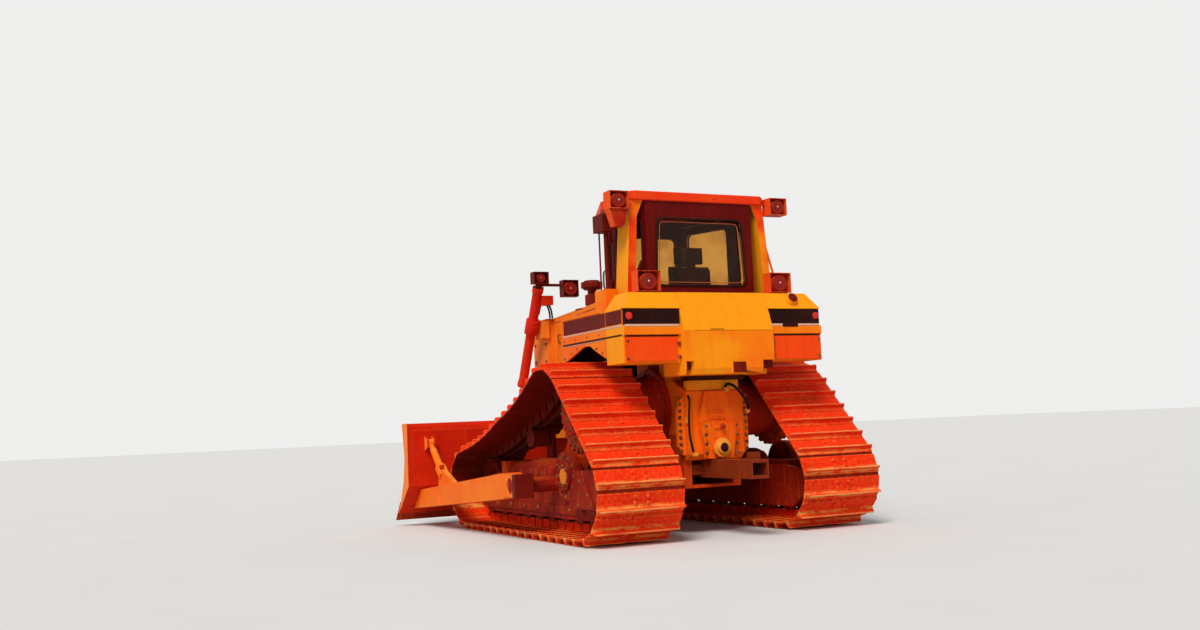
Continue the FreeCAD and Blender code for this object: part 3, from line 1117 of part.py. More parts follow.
# Lift cylinders: brackets on the radiator guard, barrels on yoke pins, rods down to the blade.
bracket = join("lift_bracket_left", [
    box("lift_bracket_arm", ("lift_x - 110", "lift_x + 110"), ("guard_half + 0.3", "lift_y - barrel_r - 32"),
        ("lift_z - 150", "lift_z + 60")),
    rod("lift_bracket_pin", "lift_pin_r", ("lift_y - barrel_r - 34", "lift_y - barrel_r - 0.5"), "lift_x",
        "lift_z"),
])
pair("lift_bracket", bracket)

YOKE = ("lift_x", "lift_z")
EYE = ("eye_x", "eye_z")
LEAN_RUN = "(eye_x - lift_x) / (lift_z - eye_z)"


def leaning_rod(name, radius, start, stop):
    """A round bar along the lift cylinder's line, start and stop counted down from the yoke pin."""
    return strut(name, radius, YOKE, EYE, "lift_y", start, stop)


barrel = join("lift_barrel_whole", [
    leaning_rod("barrel_tube", "barrel_r", "-barrel_above", "barrel_long - barrel_above"),
    leaning_rod("barrel_gland", "barrel_r + 8", "barrel_long - barrel_above - 60",
                "barrel_long - barrel_above"),
    leaning_rod("barrel_collar", "barrel_r + 24", -90, 90),
    leaning_rod("barrel_head", "barrel_r + 10", "-barrel_above", "70 - barrel_above"),
    box("barrel_valve", (f"lift_x - 295 * {LEAN_RUN} - 85", f"lift_x - 295 * {LEAN_RUN} + 55"),
        ("lift_y - barrel_r - 130", "lift_y - barrel_r + 20"),
        ("lift_z + 240", "lift_z + 350")),
])
pin_room = rod("barrel_pin_room", "lift_pin_r + 0.5", ("lift_y - barrel_r - 60", "lift_y - barrel_r - 0.2"),
               "lift_x", "lift_z")
bore_room = leaning_rod("barrel_bore", "rod_r + 0.4", "25 - barrel_above", "barrel_long")
pair("lift_barrel", carve("lift_barrel_left", barrel, [pin_room, bore_room]))
EYE_RUN = "sqrt((eye_x - lift_x)^2 + (lift_z - eye_z)^2)"
pair("lift_rod", carve("lift_rod_left", join("lift_rod_whole", [
    leaning_rod("rod_bar", "rod_r", "barrel_long - barrel_above - 450", f"{EYE_RUN} - 60"),
    rod("rod_eye", "eye_bore_r + 26", ("lift_y - 30", "lift_y + 30"), *EYE),
]), [rod("rod_eye_bore", "eye_bore_r", ("lift_y - 40", "lift_y + 40"), *EYE)]))

# Blade: curved face plate, end plates, back beam and lugs. Its profile is an arc over a raked cutting edge.
EDGE_LONG = "sqrt(edge_back^2 + edge_tall^2)"
BACK_X = f"edge_thick * edge_tall / {EDGE_LONG}"
BACK_Z = f"edge_thick * edge_back / {EDGE_LONG}"
TOE_X = f"blade_tip_x - edge_back - {BACK_X}"
TOE_Z = f"blade_tip_z + edge_tall - {BACK_Z}"
FACE_TOP_X = "blade_back + 215"
face = doc.addObject("Part::Feature", "blade_face")


def blade_face():
    """The face plate's side view: two arcs a plate's thickness apart, joined at top and bottom."""
    toe = V(num(TOE_X) - 0.3, 0, num(TOE_Z) - 0.3)
    top = V(num(FACE_TOP_X), 0, num("blade_high"))
    deepest = V(num("blade_back + blade_hollow"), 0, num("(blade_high + blade_tip_z) / 2 + 60"))
    back = V(num("blade_sheet"), 0, 0)
    front_arc = Part.Arc(toe, deepest, top).toShape()
    rear_arc = Part.Arc(toe - back, deepest - back, top - back).toShape()
    ends = [Part.makeLine(rear_arc.Vertexes[k].Point, front_arc.Vertexes[k].Point) for k in (0, 1)]
    wire = Part.Wire([rear_arc, ends[1], front_arc, ends[0]])
    solid = Part.Face(wire).extrude(V(0, num("blade_half * 2"), 0))
    solid.translate(V(num(X_SHIFT), -num("blade_half"), 0))
    return solid


face.Shape = blade_face()


def along_edge(down, behind):
    """A point down the cutting edge's rear face from its top, and behind that face."""
    return (f"{TOE_X} + ({down}) * edge_back / {EDGE_LONG} - ({behind}) * edge_tall / {EDGE_LONG}",
            f"{TOE_Z} - ({down}) * edge_tall / {EDGE_LONG} - ({behind}) * edge_back / {EDGE_LONG}")


toe_plate = plate("blade_toe", "XZ_Plane", [along_edge(-20, "play"), along_edge(150, "play"),
                                            along_edge(150, "play + blade_sheet"),
                                            along_edge(-20, "play + blade_sheet")],
                  "blade_half * 2")


def slope_x(height):
    """Where the blade's leaning lower back is at this height."""
    return f"blade_back + (slope_high - ({height})) * slope_run"


end_plates = [plate(f"blade_end_{tag}", "XZ_Plane",
                    [("blade_back", "slope_high"), (slope_x("blade_tip_z + 160"), "blade_tip_z + 160"),
                     along_edge(140, "play"),
                     along_edge(0, "play"), ("blade_back + blade_hollow + 85", "blade_high - 720"),
                     ("blade_back + blade_hollow + 15", "blade_high - 430"), (FACE_TOP_X, "blade_high"),
                     ("blade_back", "blade_high")],
                    "30", y=f"{hand} * (blade_half - 15)") for tag, hand in SIDES]
BEAM_DEEP = "40"
back_beam = [
    box("blade_beam_top", ("blade_back", "blade_back + 200"), ("20 - blade_half", "blade_half - 20"),
        ("blade_high - 120", "blade_high - 90")),
    box("blade_beam_skin", ("blade_back", "blade_back + 14"), ("20 - blade_half", "blade_half - 20"),
        ("slope_high", "blade_high - 90")),
    plate("blade_beam_low", "XZ_Plane",
          [("blade_back", "slope_high"), (slope_x("blade_tip_z + 195"), "blade_tip_z + 195"),
           (f"{slope_x('blade_tip_z + 195')} + {BEAM_DEEP}", "blade_tip_z + 195"),
           ("blade_back + 20", "slope_high + 40"),
           ("blade_back", "slope_high + 40")], "(blade_half - 20) * 2"),
]
BRACE_LOW = ("brace_low_x", "brace_low_z")
BRACE_HIGH = ("brace_high_x", "brace_high_z")
lugs = []
for tag, hand in SIDES:
    for number, off in enumerate((-58, 34)):
        lugs.append(plate(f"blade_lug_{tag}{number}", "XZ_Plane",
                          [("eye_x - 50", "eye_z - 50"), ("blade_back + 5", "eye_z - 120"),
                           ("blade_back + 5", "eye_z + 120"),
                           ("eye_x - 50", "eye_z + 50")], "lug_thick",
                           y=f"{hand} * lift_y + {off} + lug_thick / 2"))
    lugs.append(rod(f"blade_pin_{tag}", "eye_pin_r", (f"{hand} * lift_y - 60", f"{hand} * lift_y + 60"),
                    *EYE))
    for number, off in enumerate((-56, 32)):
        lugs.append(plate(f"brace_lug_{tag}{number}", "XZ_Plane",
                          [("brace_high_x - 45", "brace_high_z - 45"),
                           ("blade_back + 5", "brace_high_z - 90"),
                           ("blade_back + 5", "brace_high_z + 90"),
                           ("brace_high_x - 45", "brace_high_z + 45")],
                          "lug_thick", y=f"{hand} * arm_y + {off} + lug_thick / 2"))
    lugs.append(rod(f"brace_pin_{tag}", "brace_pin_r", (f"{hand} * arm_y - 58", f"{hand} * arm_y + 58"),
                    *BRACE_HIGH))
node("blade", join("blade", [face, toe_plate] + end_plates + back_beam + lugs))

edge = plate("cutting_edge", "XZ_Plane",
             [("blade_tip_x", "blade_tip_z"), ("blade_tip_x - edge_back", "blade_tip_z + edge_tall"),
              (TOE_X, TOE_Z),
              (f"{TOE_X} + ({TOE_Z} - blade_tip_z) * edge_back / edge_tall", "blade_tip_z")],
             "blade_half * 2")
node("cutting_edge", edge)

# Push arms: boxed beams from the trunnions to the blade, with braces up to its back.
arm = join("push_arm_whole", [
    plate("arm_beam", "XZ_Plane",
          [("arm_rear", "hinge_z - arm_rear_tall / 2"), (f"{slope_x('arm_end_low')} - 0.4", "arm_end_low"),
           (f"{slope_x('arm_end_high')} - 0.4", "arm_end_high"), ("arm_rear", "hinge_z + arm_rear_tall / 2")],
          "arm_thick", y="arm_y"),
    box("arm_yoke", ("hinge_x - 150", "arm_rear + 5"), ("arm_inner", "arm_inner + arm_thick"),
        ("hinge_z - 115", "hinge_z + 115")),
    plate("arm_lug", "XZ_Plane", [("brace_low_x - 530", "520"), ("brace_low_x + 120", "440"),
                                  ("brace_low_x + 80", "620"), ("brace_low_x + 45", "brace_low_z + 45"),
                                  ("brace_low_x - 50", "brace_low_z + 50")],
          "60", y="arm_y"),
    plate("arm_patch", "XZ_Plane",
          [("blade_back - 700", "arm_end_low + 75"), ("blade_back + 40", "arm_end_low + 22"),
           ("blade_back + 10", "arm_end_low + 175"), ("blade_back - 640", "arm_end_low + 215")],
          "16", y="arm_inner + arm_thick + 5"),
    rod("arm_brace_pin", "brace_pin_r", ("arm_y - 58", "arm_y + 58"), *BRACE_LOW),
])
arm_room = rod("arm_trunnion_room", "trunnion_r + 0.5", ("arm_inner - 10", "arm_inner + arm_thick + 10"),
               "hinge_x", "hinge_z")
pair("push_arm", carve("push_arm_left", arm, [arm_room]))

# Braces: a fork over the arm's lug below, a round tube, and an eye between the blade's lugs above.
BRACE_RUN = "sqrt((brace_low_behind - brace_high_behind)^2 + (brace_high_z - brace_low_z)^2)"
BRACE_LEAN = "atan2(brace_low_behind - brace_high_behind; brace_high_z - brace_low_z)"
tines = []
for number, off in enumerate((-44, 44)):
    tines.append(plate(f"brace_tine{number}", "YZ_Plane",
                       [(f"{off} - 12", "-40"), (f"{off} + 12", "-40"), (f"{off} + 12", "135"),
                        (f"{off} - 12", "135")],
                       "70", x=BRACE_LOW[0], y="arm_y", z=BRACE_LOW[1], axis=V(0, 1, 0), turn=BRACE_LEAN))
brace = join("brace_whole", tines + [
    strut("brace_crown", 56, BRACE_LOW, BRACE_HIGH, "arm_y", "95", "140"),
    strut("brace_tube", 42, BRACE_LOW, BRACE_HIGH, "arm_y", "130", f"{BRACE_RUN} - 125"),
    strut("brace_neck", 28, BRACE_LOW, BRACE_HIGH, "arm_y", f"{BRACE_RUN} - 130", f"{BRACE_RUN} - 40"),
    rod("brace_eye", 52, ("arm_y - 31.7", "arm_y + 31.7"), *BRACE_HIGH),
])
brace_rooms = [rod("brace_low_room", "brace_pin_r + play", ("arm_y - 70", "arm_y + 70"), *BRACE_LOW),
               rod("brace_high_room", "brace_pin_r + play", ("arm_y - 70", "arm_y + 70"), *BRACE_HIGH)]
pair("blade_brace", carve("blade_brace_left", brace, brace_rooms))

# Lamps: open sheet housings with a round lens each, on the roof corners, the tank and the lift cylinders.


def lamp(name, rear, depth, y, z, wide, tall):
    """A housing open at its rear, its middle at y and z, with a lens standing in it."""
    y_span = (f"{y} - {wide} / 2", f"{y} + {wide} / 2")
    z_span = (f"{z} - {tall} / 2", f"{z} + {tall} / 2")
    shell = box(name + "_housing", (rear, f"{rear} + {depth}"), y_span, z_span)
    room = box(name + "_room", (f"{rear} - 10", f"{rear} + {depth} - lamp_wall"),
               (f"{y_span[0]} + lamp_wall", f"{y_span[1]} - lamp_wall"),
               (f"{z_span[0]} + lamp_wall", f"{z_span[1]} - lamp_wall"))
    lens = shaft_end(name + "_lens", f"{tall} / 2 - lamp_wall * 2", y, z, f"{rear} + 22",
                     f"{rear} + {depth} - lamp_wall / 2")
    return [carve(name + "_shell", shell, [room]), lens]


lamps = []
for tag, hand in SIDES:
    middle = f"{hand} * (roof_half + 30 + lamp_wide / 2)"
    tongue = ("roof_half + play", "roof_half + 40") if hand > 0 else ("-roof_half - 40", "-roof_half - play")
    pieces = lamp(f"roof_lamp_{tag}", "roof_rear - 40", "150", middle, "roof_top - 110", "lamp_wide",
                  "lamp_tall")
    pieces.append(box(f"roof_lamp_tongue_{tag}", ("roof_rear + 60", "roof_rear + 100"), tongue,
                      ("cab_eave + 10", "cab_eave + 70")))
    if hand > 0:
        pieces.append(plate("roof_lamp_bracket", "YZ_Plane",
                            [("roof_half + 30", "cab_eave - 103"),
                             ("roof_half + lamp_wide + 30", "cab_eave - 103"),
                             ("roof_half + lamp_wide - 30", "cab_eave - 280"),
                             ("roof_half + 80", "cab_eave - 280")],
                            "110", x="roof_rear + 40"))
    lamps.append(join(f"roof_lamp_set_{tag}", pieces))
node("roof_lamps", gather("roof_lamps", lamps))
rear_lamps = []
for tag, hand in SIDES:
    pieces = lamp(f"tank_lamp_{tag}", "tank_rear + 130", "130", f"{hand} * tank_lamp_y",
                  "tank_high + tank_lamp_tall / 2 + 15.5",
                  "tank_lamp_wide", "tank_lamp_tall")
    pieces.append(box(f"tank_lamp_foot_{tag}", ("tank_rear + 190", "tank_rear + 240"),
                      (f"{hand} * tank_lamp_y - 60", f"{hand} * tank_lamp_y + 60"),
                      ("tank_high + play", "tank_high + 20")))
    rear_lamps.append(join(f"tank_lamp_set_{tag}", pieces))
node("rear_lamps", gather("rear_lamps", rear_lamps))
HEAD_X = f"(lift_x - (barrel_above + play) * (eye_x - lift_x) / ({EYE_RUN}))"
HEAD_Z = f"(lift_z + (barrel_above + play) * (lift_z - eye_z) / ({EYE_RUN}))"
pair("lift_lamp", join("lift_lamp_left", [
    leaning_rod("lift_lamp_stem", "barrel_r - 20", "-barrel_above - 28", "-barrel_above - play"),
    box("lift_lamp_bar", (f"{HEAD_X} - 60", f"{HEAD_X} - 20"), ("lift_y - 300", "lift_y + 20"),
        (f"{HEAD_Z} + 6", f"{HEAD_Z} + 36")),
    *lamp("lift_lamp_outer", f"{HEAD_X} - 110", "120", "lift_y", f"{HEAD_Z} + 102", "190", "140"),
    *lamp("lift_lamp_inner", f"{HEAD_X} - 110", "120", "lift_y - 380", f"{HEAD_Z} - 20", "200", "200"),
]))

doc.recompute()
faults = []
for item in doc.Objects:
    if "Invalid" in item.State or "Error" in item.State:
        faults.append(f"{item.Name}: {item.State}")
for name, piece in NODES.items():
    if piece.Shape.isNull() or not piece.Shape.isValid() or not piece.Shape.Solids:
        faults.append(f"{name}: no sound solid")
if faults:
    raise RuntimeError("; ".join(faults))
os.makedirs("parts", exist_ok=True)
for name, piece in NODES.items():
    piece.Shape.exportStep(f"parts/{name}.step")
print(len(NODES), "nodes written, shifted by", round(num(X_SHIFT), 3))
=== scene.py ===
import json
import math
import bmesh
import bpy
from mathutils import Euler, Matrix, Vector
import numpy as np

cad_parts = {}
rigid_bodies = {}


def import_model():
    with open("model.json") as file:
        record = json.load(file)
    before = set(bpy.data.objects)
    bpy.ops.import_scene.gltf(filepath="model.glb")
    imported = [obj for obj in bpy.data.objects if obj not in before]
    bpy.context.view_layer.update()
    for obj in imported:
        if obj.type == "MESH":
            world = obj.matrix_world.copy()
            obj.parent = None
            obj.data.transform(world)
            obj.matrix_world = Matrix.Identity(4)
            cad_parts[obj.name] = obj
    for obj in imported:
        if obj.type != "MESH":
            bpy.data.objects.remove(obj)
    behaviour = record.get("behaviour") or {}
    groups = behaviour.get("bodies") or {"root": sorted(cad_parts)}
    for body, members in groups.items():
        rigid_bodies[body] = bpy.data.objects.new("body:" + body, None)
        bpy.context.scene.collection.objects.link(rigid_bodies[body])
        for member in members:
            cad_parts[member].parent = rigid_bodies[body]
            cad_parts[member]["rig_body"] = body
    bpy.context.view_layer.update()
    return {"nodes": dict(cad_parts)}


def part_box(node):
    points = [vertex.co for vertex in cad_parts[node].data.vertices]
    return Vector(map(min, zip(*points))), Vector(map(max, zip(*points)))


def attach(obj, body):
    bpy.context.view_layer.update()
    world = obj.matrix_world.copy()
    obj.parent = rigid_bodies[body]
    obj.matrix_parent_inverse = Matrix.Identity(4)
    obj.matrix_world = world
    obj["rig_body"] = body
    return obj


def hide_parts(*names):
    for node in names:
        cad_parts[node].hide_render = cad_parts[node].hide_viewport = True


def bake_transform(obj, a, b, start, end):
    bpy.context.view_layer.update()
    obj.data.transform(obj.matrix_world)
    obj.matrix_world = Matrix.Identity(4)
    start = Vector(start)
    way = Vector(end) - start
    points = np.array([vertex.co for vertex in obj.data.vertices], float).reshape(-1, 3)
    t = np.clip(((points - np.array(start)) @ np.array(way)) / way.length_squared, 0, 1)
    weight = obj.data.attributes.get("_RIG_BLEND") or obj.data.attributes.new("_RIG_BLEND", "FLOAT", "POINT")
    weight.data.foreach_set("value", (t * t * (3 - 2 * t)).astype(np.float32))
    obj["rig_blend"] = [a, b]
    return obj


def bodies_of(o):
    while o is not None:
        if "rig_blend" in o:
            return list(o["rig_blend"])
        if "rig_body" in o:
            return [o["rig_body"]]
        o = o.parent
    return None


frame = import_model()

# Ground, sky and light. A pale concrete floor under an even pale sky, and one very soft light from
# behind and above on the machine's left.
scene = bpy.context.scene
scene.view_settings.view_transform = "Standard"


def nodes_of(material):
    """A Principled shader on the material's output, in an otherwise empty tree."""
    material.use_nodes = True
    tree = material.node_tree
    tree.nodes.clear()
    shader = tree.nodes.new("ShaderNodeBsdfPrincipled")
    output = tree.nodes.new("ShaderNodeOutputMaterial")
    tree.links.new(shader.outputs[0], output.inputs[0])
    return tree, shader


def add(tree, kind, sockets=None, **settings):
    """One node: settings are its own properties, sockets its input values or the outputs that feed them."""
    made = tree.nodes.new(kind)
    for name, value in settings.items():
        setattr(made, name, value)
    for name, value in (sockets or {}).items():
        if isinstance(value, bpy.types.NodeSocket):
            tree.links.new(value, made.inputs[name])
        else:
            made.inputs[name].default_value = value
    return made


def noise(tree, where, scale, detail, roughness=0.5):
    """A cloudy mask from 0 to 1."""
    return add(tree, "ShaderNodeTexNoise", {"Vector": where, "Scale": scale, "Detail": detail,
        "Roughness": roughness}).outputs["Fac"]


def floor_finish():
    material = bpy.data.materials.new("floor_pale")
    tree, shader = nodes_of(material)
    place = add(tree, "ShaderNodeTexCoord")
    cloud = noise(tree, place.outputs["Object"], 0.8, 6.0)
    tone = add(tree, "ShaderNodeMapRange", {"Value": cloud, "To Min": 0.7, "To Max": 0.76})
    shade = add(tree, "ShaderNodeCombineColor", {"Red": tone.outputs[0], "Green": tone.outputs[0],
        "Blue": tone.outputs[0]})
    tree.links.new(shade.outputs[0], shader.inputs["Base Color"])
    shader.inputs["Roughness"].default_value = 0.9
    return material


FLOOR_REACH = 160.0
FLOOR_LOW = -0.001
floor_mesh = bpy.data.meshes.new("floor")
floor_mesh.from_pydata([(x * FLOOR_REACH, y * FLOOR_REACH, FLOOR_LOW)
    for x, y in ((-1, -1), (1, -1), (1, 1), (-1, 1))], [], [(0, 1, 2, 3)])
floor = bpy.data.objects.new("floor", floor_mesh)
scene.collection.objects.link(floor)
floor_mesh.materials.append(floor_finish())

sky = bpy.data.worlds.new("sky_even")
scene.world = sky
sky.use_nodes = True
sky_tree = sky.node_tree
sky_tree.nodes.clear()
paths = add(sky_tree, "ShaderNodeLightPath")
direct = add(sky_tree, "ShaderNodeMath", {0: paths.outputs["Is Camera Ray"],
    1: paths.outputs["Is Glossy Ray"]}, operation="MAXIMUM")
seen = add(sky_tree, "ShaderNodeMath", {0: direct.outputs[0], 1: paths.outputs["Is Transmission Ray"]},
    operation="MAXIMUM")
lit_sky = add(sky_tree, "ShaderNodeBackground", {"Color": (0.95, 0.97, 1.0, 1.0), "Strength": 0.38})
seen_sky = add(sky_tree, "ShaderNodeBackground", {"Color": (0.86, 0.86, 0.85, 1.0), "Strength": 1.0})
either = add(sky_tree, "ShaderNodeMixShader", {0: seen.outputs[0], 1: lit_sky.outputs[0],
    2: seen_sky.outputs[0]})
add(sky_tree, "ShaderNodeOutputWorld", {"Surface": either.outputs[0]})

sun_light = bpy.data.lights.new("soft_sun", "SUN")
sun_light.energy = 2.7
sun_light.angle = math.radians(24)
sun_light.color = (1.0, 0.96, 0.9)
sun = bpy.data.objects.new("soft_sun", sun_light)
SUN_FROM = Vector((-0.72, 0.66, 1.05))
sun.rotation_euler = SUN_FROM.to_track_quat("Z", "Y").to_euler()
scene.collection.objects.link(sun)

# Camera: behind the machine on its left, 1.13 m above the ground and looking slightly up, turned a
# little about its own axis, as the photograph was taken.
wheels_low, wheels_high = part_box("idlers_left")
AXLE_X = wheels_low.x + (wheels_high.z - wheels_low.z) / 2


def spot(x, y, z):
    """A point counted from the rear idler's axle, the machine's middle line and the ground."""
    return Vector((AXLE_X + x, y, z))


CAMERA_BACK, CAMERA_LEFT, CAMERA_UP = 10.658, 6.485, 1.134
CAMERA_YAW, CAMERA_PITCH, CAMERA_ROLL = math.radians(25.992), math.radians(5.123), math.radians(-2.5)
ahead = Vector((math.cos(CAMERA_PITCH) * math.cos(CAMERA_YAW),
    -math.cos(CAMERA_PITCH) * math.sin(CAMERA_YAW), math.sin(CAMERA_PITCH)))
level = Vector((-math.sin(CAMERA_YAW), -math.cos(CAMERA_YAW), 0.0))
upward = level.cross(ahead)
rightward = math.cos(CAMERA_ROLL) * level + math.sin(CAMERA_ROLL) * upward
upward = math.cos(CAMERA_ROLL) * upward - math.sin(CAMERA_ROLL) * level
camera_data = bpy.data.cameras.new("camera")
camera_data.sensor_width = 36.0
camera_data.lens = 37.06
camera_data.clip_end = 400.0
camera = bpy.data.objects.new("camera", camera_data)
facing = Matrix((rightward, upward, -ahead)).transposed().to_4x4()
camera.matrix_world = Matrix.Translation(spot(-CAMERA_BACK, CAMERA_LEFT, CAMERA_UP)) @ facing
scene.collection.objects.link(camera)
scene.camera = camera

# Track frames: welded box beams with the recoil spring's tube, the idler guards and the pivot shaft's
# bearings, painted amber once and now mostly rust, dust and dried mud. Everything on them is bolted.


def group(name, inputs, outputs):
    """A shader node group with its sockets."""
    tree = bpy.data.node_groups.new(name, "ShaderNodeTree")
    for label, kind, value in inputs:
        socket = tree.interface.new_socket(label, in_out="INPUT", socket_type=kind)
        socket.default_value = value
    for label, kind in outputs:
        tree.interface.new_socket(label, in_out="OUTPUT", socket_type=kind)
    return tree, tree.nodes.new("NodeGroupInput"), tree.nodes.new("NodeGroupOutput")


def ramp(tree, value, low, high, out_low=0.0, out_high=1.0):
    return add(tree, "ShaderNodeMapRange", {"Value": value, "From Min": low, "From Max": high,
        "To Min": out_low, "To Max": out_high}, interpolation_type="SMOOTHSTEP").outputs[0]


def calc(tree, kind, first, second):
    return add(tree, "ShaderNodeMath", {0: first, 1: second}, operation=kind, use_clamp=True).outputs[0]


def times(tree, *masks):
    """Masks multiplied together."""
    product = masks[0]
    for mask in masks[1:]:
        product = calc(tree, "MULTIPLY", product, mask)
    return product


def mixed(tree, share, first, second):
    """One colour over another by a mask."""
    made = tree.nodes.new("ShaderNodeMix")
    made.data_type = "RGBA"
    for socket, value in ((made.inputs[0], share), (made.inputs[6], first), (made.inputs[7], second)):
        if isinstance(value, bpy.types.NodeSocket):
            tree.links.new(value, socket)
        else:
            socket.default_value = value
    return made.outputs[2]


def weather_group():
    """Fading, dust, dried mud, run marks, rubbed edges and scouring over a base colour, and painted light:
    faces turned up or to the machine's left take the lighter faded colour by the lit-side amount.
    """
    colours = [("Base", (0.8, 0.3, 0.02, 1)), ("Faded and lit", (0.8, 0.3, 0.02, 1)), ("Dust", (0.5, 0.3, 0.15, 1)),
        ("Bare", (0.25, 0.12, 0.06, 1)), ("Scoured", (0.3, 0.28, 0.26, 1))]
    amounts = [("Dust amount", 0.5), ("Mud top", 1.0), ("Mud amount", 0.6), ("Wear", 0.5), ("Streaks", 0.3),
        ("Scour", 0.0), ("Painted lit side", 0.0)]
    tree, given, result = group("weather", [(label, "NodeSocketColor", value) for label, value in colours]
        + [(label, "NodeSocketFloat", value) for label, value in amounts],
        [("Color", "NodeSocketColor"), ("Roughness", "NodeSocketFloat"), ("Height", "NodeSocketFloat"),
        ("Metal", "NodeSocketFloat")])
    given = given.outputs
    place = add(tree, "ShaderNodeTexCoord").outputs["Object"]
    surface = add(tree, "ShaderNodeNewGeometry")
    cloud = noise(tree, place, 1.7, 5.0, 0.6)
    grit = noise(tree, place, 30.0, 6.0, 0.7)
    fine = noise(tree, place, 150.0, 3.0)
    tall = add(tree, "ShaderNodeMapping", {"Vector": place, "Scale": (17.0, 17.0, 1.0)}).outputs[0]
    run = noise(tree, tall, 1.0, 5.0, 0.65)
    parts = add(tree, "ShaderNodeSeparateXYZ", {0: surface.outputs["Normal"]}).outputs
    # Painted light: faces turned up or to the machine's left are mixed towards the lighter faded colour, on
    # top of the random fading.
    painted_lit_faces = calc(tree, "MAXIMUM", ramp(tree, parts["Y"], 0.3, 0.85), ramp(tree, parts["Z"], 0.1, 0.38))
    lit_and_faded = times(tree, painted_lit_faces, given["Painted lit side"])
    lit_and_faded = calc(tree, "MAXIMUM", lit_and_faded, ramp(tree, cloud, 0.35, 0.68, 0.0, 0.7))
    faded_and_lit = mixed(tree, lit_and_faded, given["Base"], given["Faded and lit"])
    level_face = ramp(tree, parts["Z"], 0.35, 0.95)
    patchy = ramp(tree, add(tree, "ShaderNodeMath", {0: grit, 1: 0.5, 2: cloud},
        operation="MULTIPLY_ADD").outputs[0], 0.55, 0.95)
    settled = times(tree, level_face, patchy)
    streak = times(tree, ramp(tree, run, 0.5, 0.74), given["Streaks"])
    dust = calc(tree, "MAXIMUM", times(tree, settled, given["Dust amount"]), streak)
    height = add(tree, "ShaderNodeSeparateXYZ", {0: place}).outputs["Z"]
    span = add(tree, "ShaderNodeMath", {0: height, 1: given["Mud top"]}, operation="DIVIDE").outputs[0]
    reach = add(tree, "ShaderNodeMath", {0: cloud, 1: 0.9, 2: span}, operation="MULTIPLY_ADD").outputs[0]
    lowness = ramp(tree, reach, 1.35, 0.55)
    caked = times(tree, lowness, ramp(tree, grit, 0.42, 0.62), given["Mud amount"])
    dust = calc(tree, "MAXIMUM", dust, caked)
    dusty = mixed(tree, dust, faded_and_lit, given["Dust"])
    soft = add(tree, "ShaderNodeBevel", {"Radius": 0.01}, samples=4).outputs[0]
    bent = add(tree, "ShaderNodeVectorMath", {0: soft, 1: surface.outputs["Normal"]},
        operation="DOT_PRODUCT")
    edge = times(tree, ramp(tree, bent.outputs["Value"], 0.995, 0.9), ramp(tree, grit, 0.42, 0.6))
    chip = times(tree, ramp(tree, fine, 0.66, 0.72), ramp(tree, cloud, 0.5, 0.7))
    rubbed = times(tree, calc(tree, "MAXIMUM", edge, times(tree, chip, 0.6)), given["Wear"])
    worn = mixed(tree, rubbed, dusty, given["Bare"])
    forward = ramp(tree, parts["X"], 0.25, 0.75)
    scratch = add(tree, "ShaderNodeMapping", {"Vector": place, "Scale": (3.0, 40.0, 2.5)}).outputs[0]
    scratch = noise(tree, scratch, 1.0, 6.0, 0.7)
    scoured = times(tree, forward, given["Scour"], ramp(tree, scratch, 0.22, 0.5))
    final = mixed(tree, scoured, worn, given["Scoured"])
    rough = add(tree, "ShaderNodeMath", {0: dust, 1: 0.35, 2: ramp(tree, grit, 0.3, 0.7, 0.42, 0.58)},
        operation="MULTIPLY_ADD", use_clamp=True).outputs[0]
    relief = add(tree, "ShaderNodeMath", {0: dust, 1: 0.9, 2: 0.1}, operation="MULTIPLY_ADD").outputs[0]
    relief = add(tree, "ShaderNodeMath", {0: grit, 1: relief}, operation="MULTIPLY").outputs[0]
    metal = calc(tree, "MAXIMUM", times(tree, rubbed, 0.25), times(tree, scoured, 0.85))
    for label, value in (("Color", final), ("Roughness", rough), ("Height", relief), ("Metal", metal)):
        tree.links.new(value, result.inputs[label])
    return tree


WEATHER = weather_group()


def weathered(name, base, faded_and_lit, dust=(0.46, 0.13, 0.03), bare=(0.15, 0.03, 0.012), dust_amount=0.4,
        mud_top=0.9, mud=0.6, wear=0.6, streaks=0.2, bump=0.25, coat=0.0, metallic=None, scour=0.0,
        lit_and_faded=0.0, roughness=None):
    """Paint or bare metal under the same weather, each with its own amounts."""
    material = bpy.data.materials.new(name)
    tree, shader = nodes_of(material)
    weather = add(tree, "ShaderNodeGroup", node_tree=WEATHER)
    for label, value in (("Base", (*base, 1)), ("Faded and lit", (*faded_and_lit, 1)), ("Dust", (*dust, 1)),
            ("Bare", (*bare, 1)), ("Dust amount", dust_amount), ("Mud top", mud_top), ("Mud amount", mud),
            ("Wear", wear), ("Streaks", streaks), ("Scour", scour), ("Painted lit side", lit_and_faded)):
        weather.inputs[label].default_value = value
    relief = add(tree, "ShaderNodeBump", {"Height": weather.outputs["Height"], "Strength": bump,
        "Distance": 0.004})
    tree.links.new(weather.outputs["Color"], shader.inputs["Base Color"])
    tree.links.new(relief.outputs[0], shader.inputs["Normal"])
    if roughness is None:
        tree.links.new(weather.outputs["Roughness"], shader.inputs["Roughness"])
    else:
        shader.inputs["Roughness"].default_value = roughness
    if metallic is None:
        tree.links.new(weather.outputs["Metal"], shader.inputs["Metallic"])
    else:
        shader.inputs["Metallic"].default_value = metallic
    shader.inputs["Specular IOR Level"].default_value = 0.05
    shader.inputs["Coat Weight"].default_value = coat
    shader.inputs["Coat Roughness"].default_value = 0.25
    return material


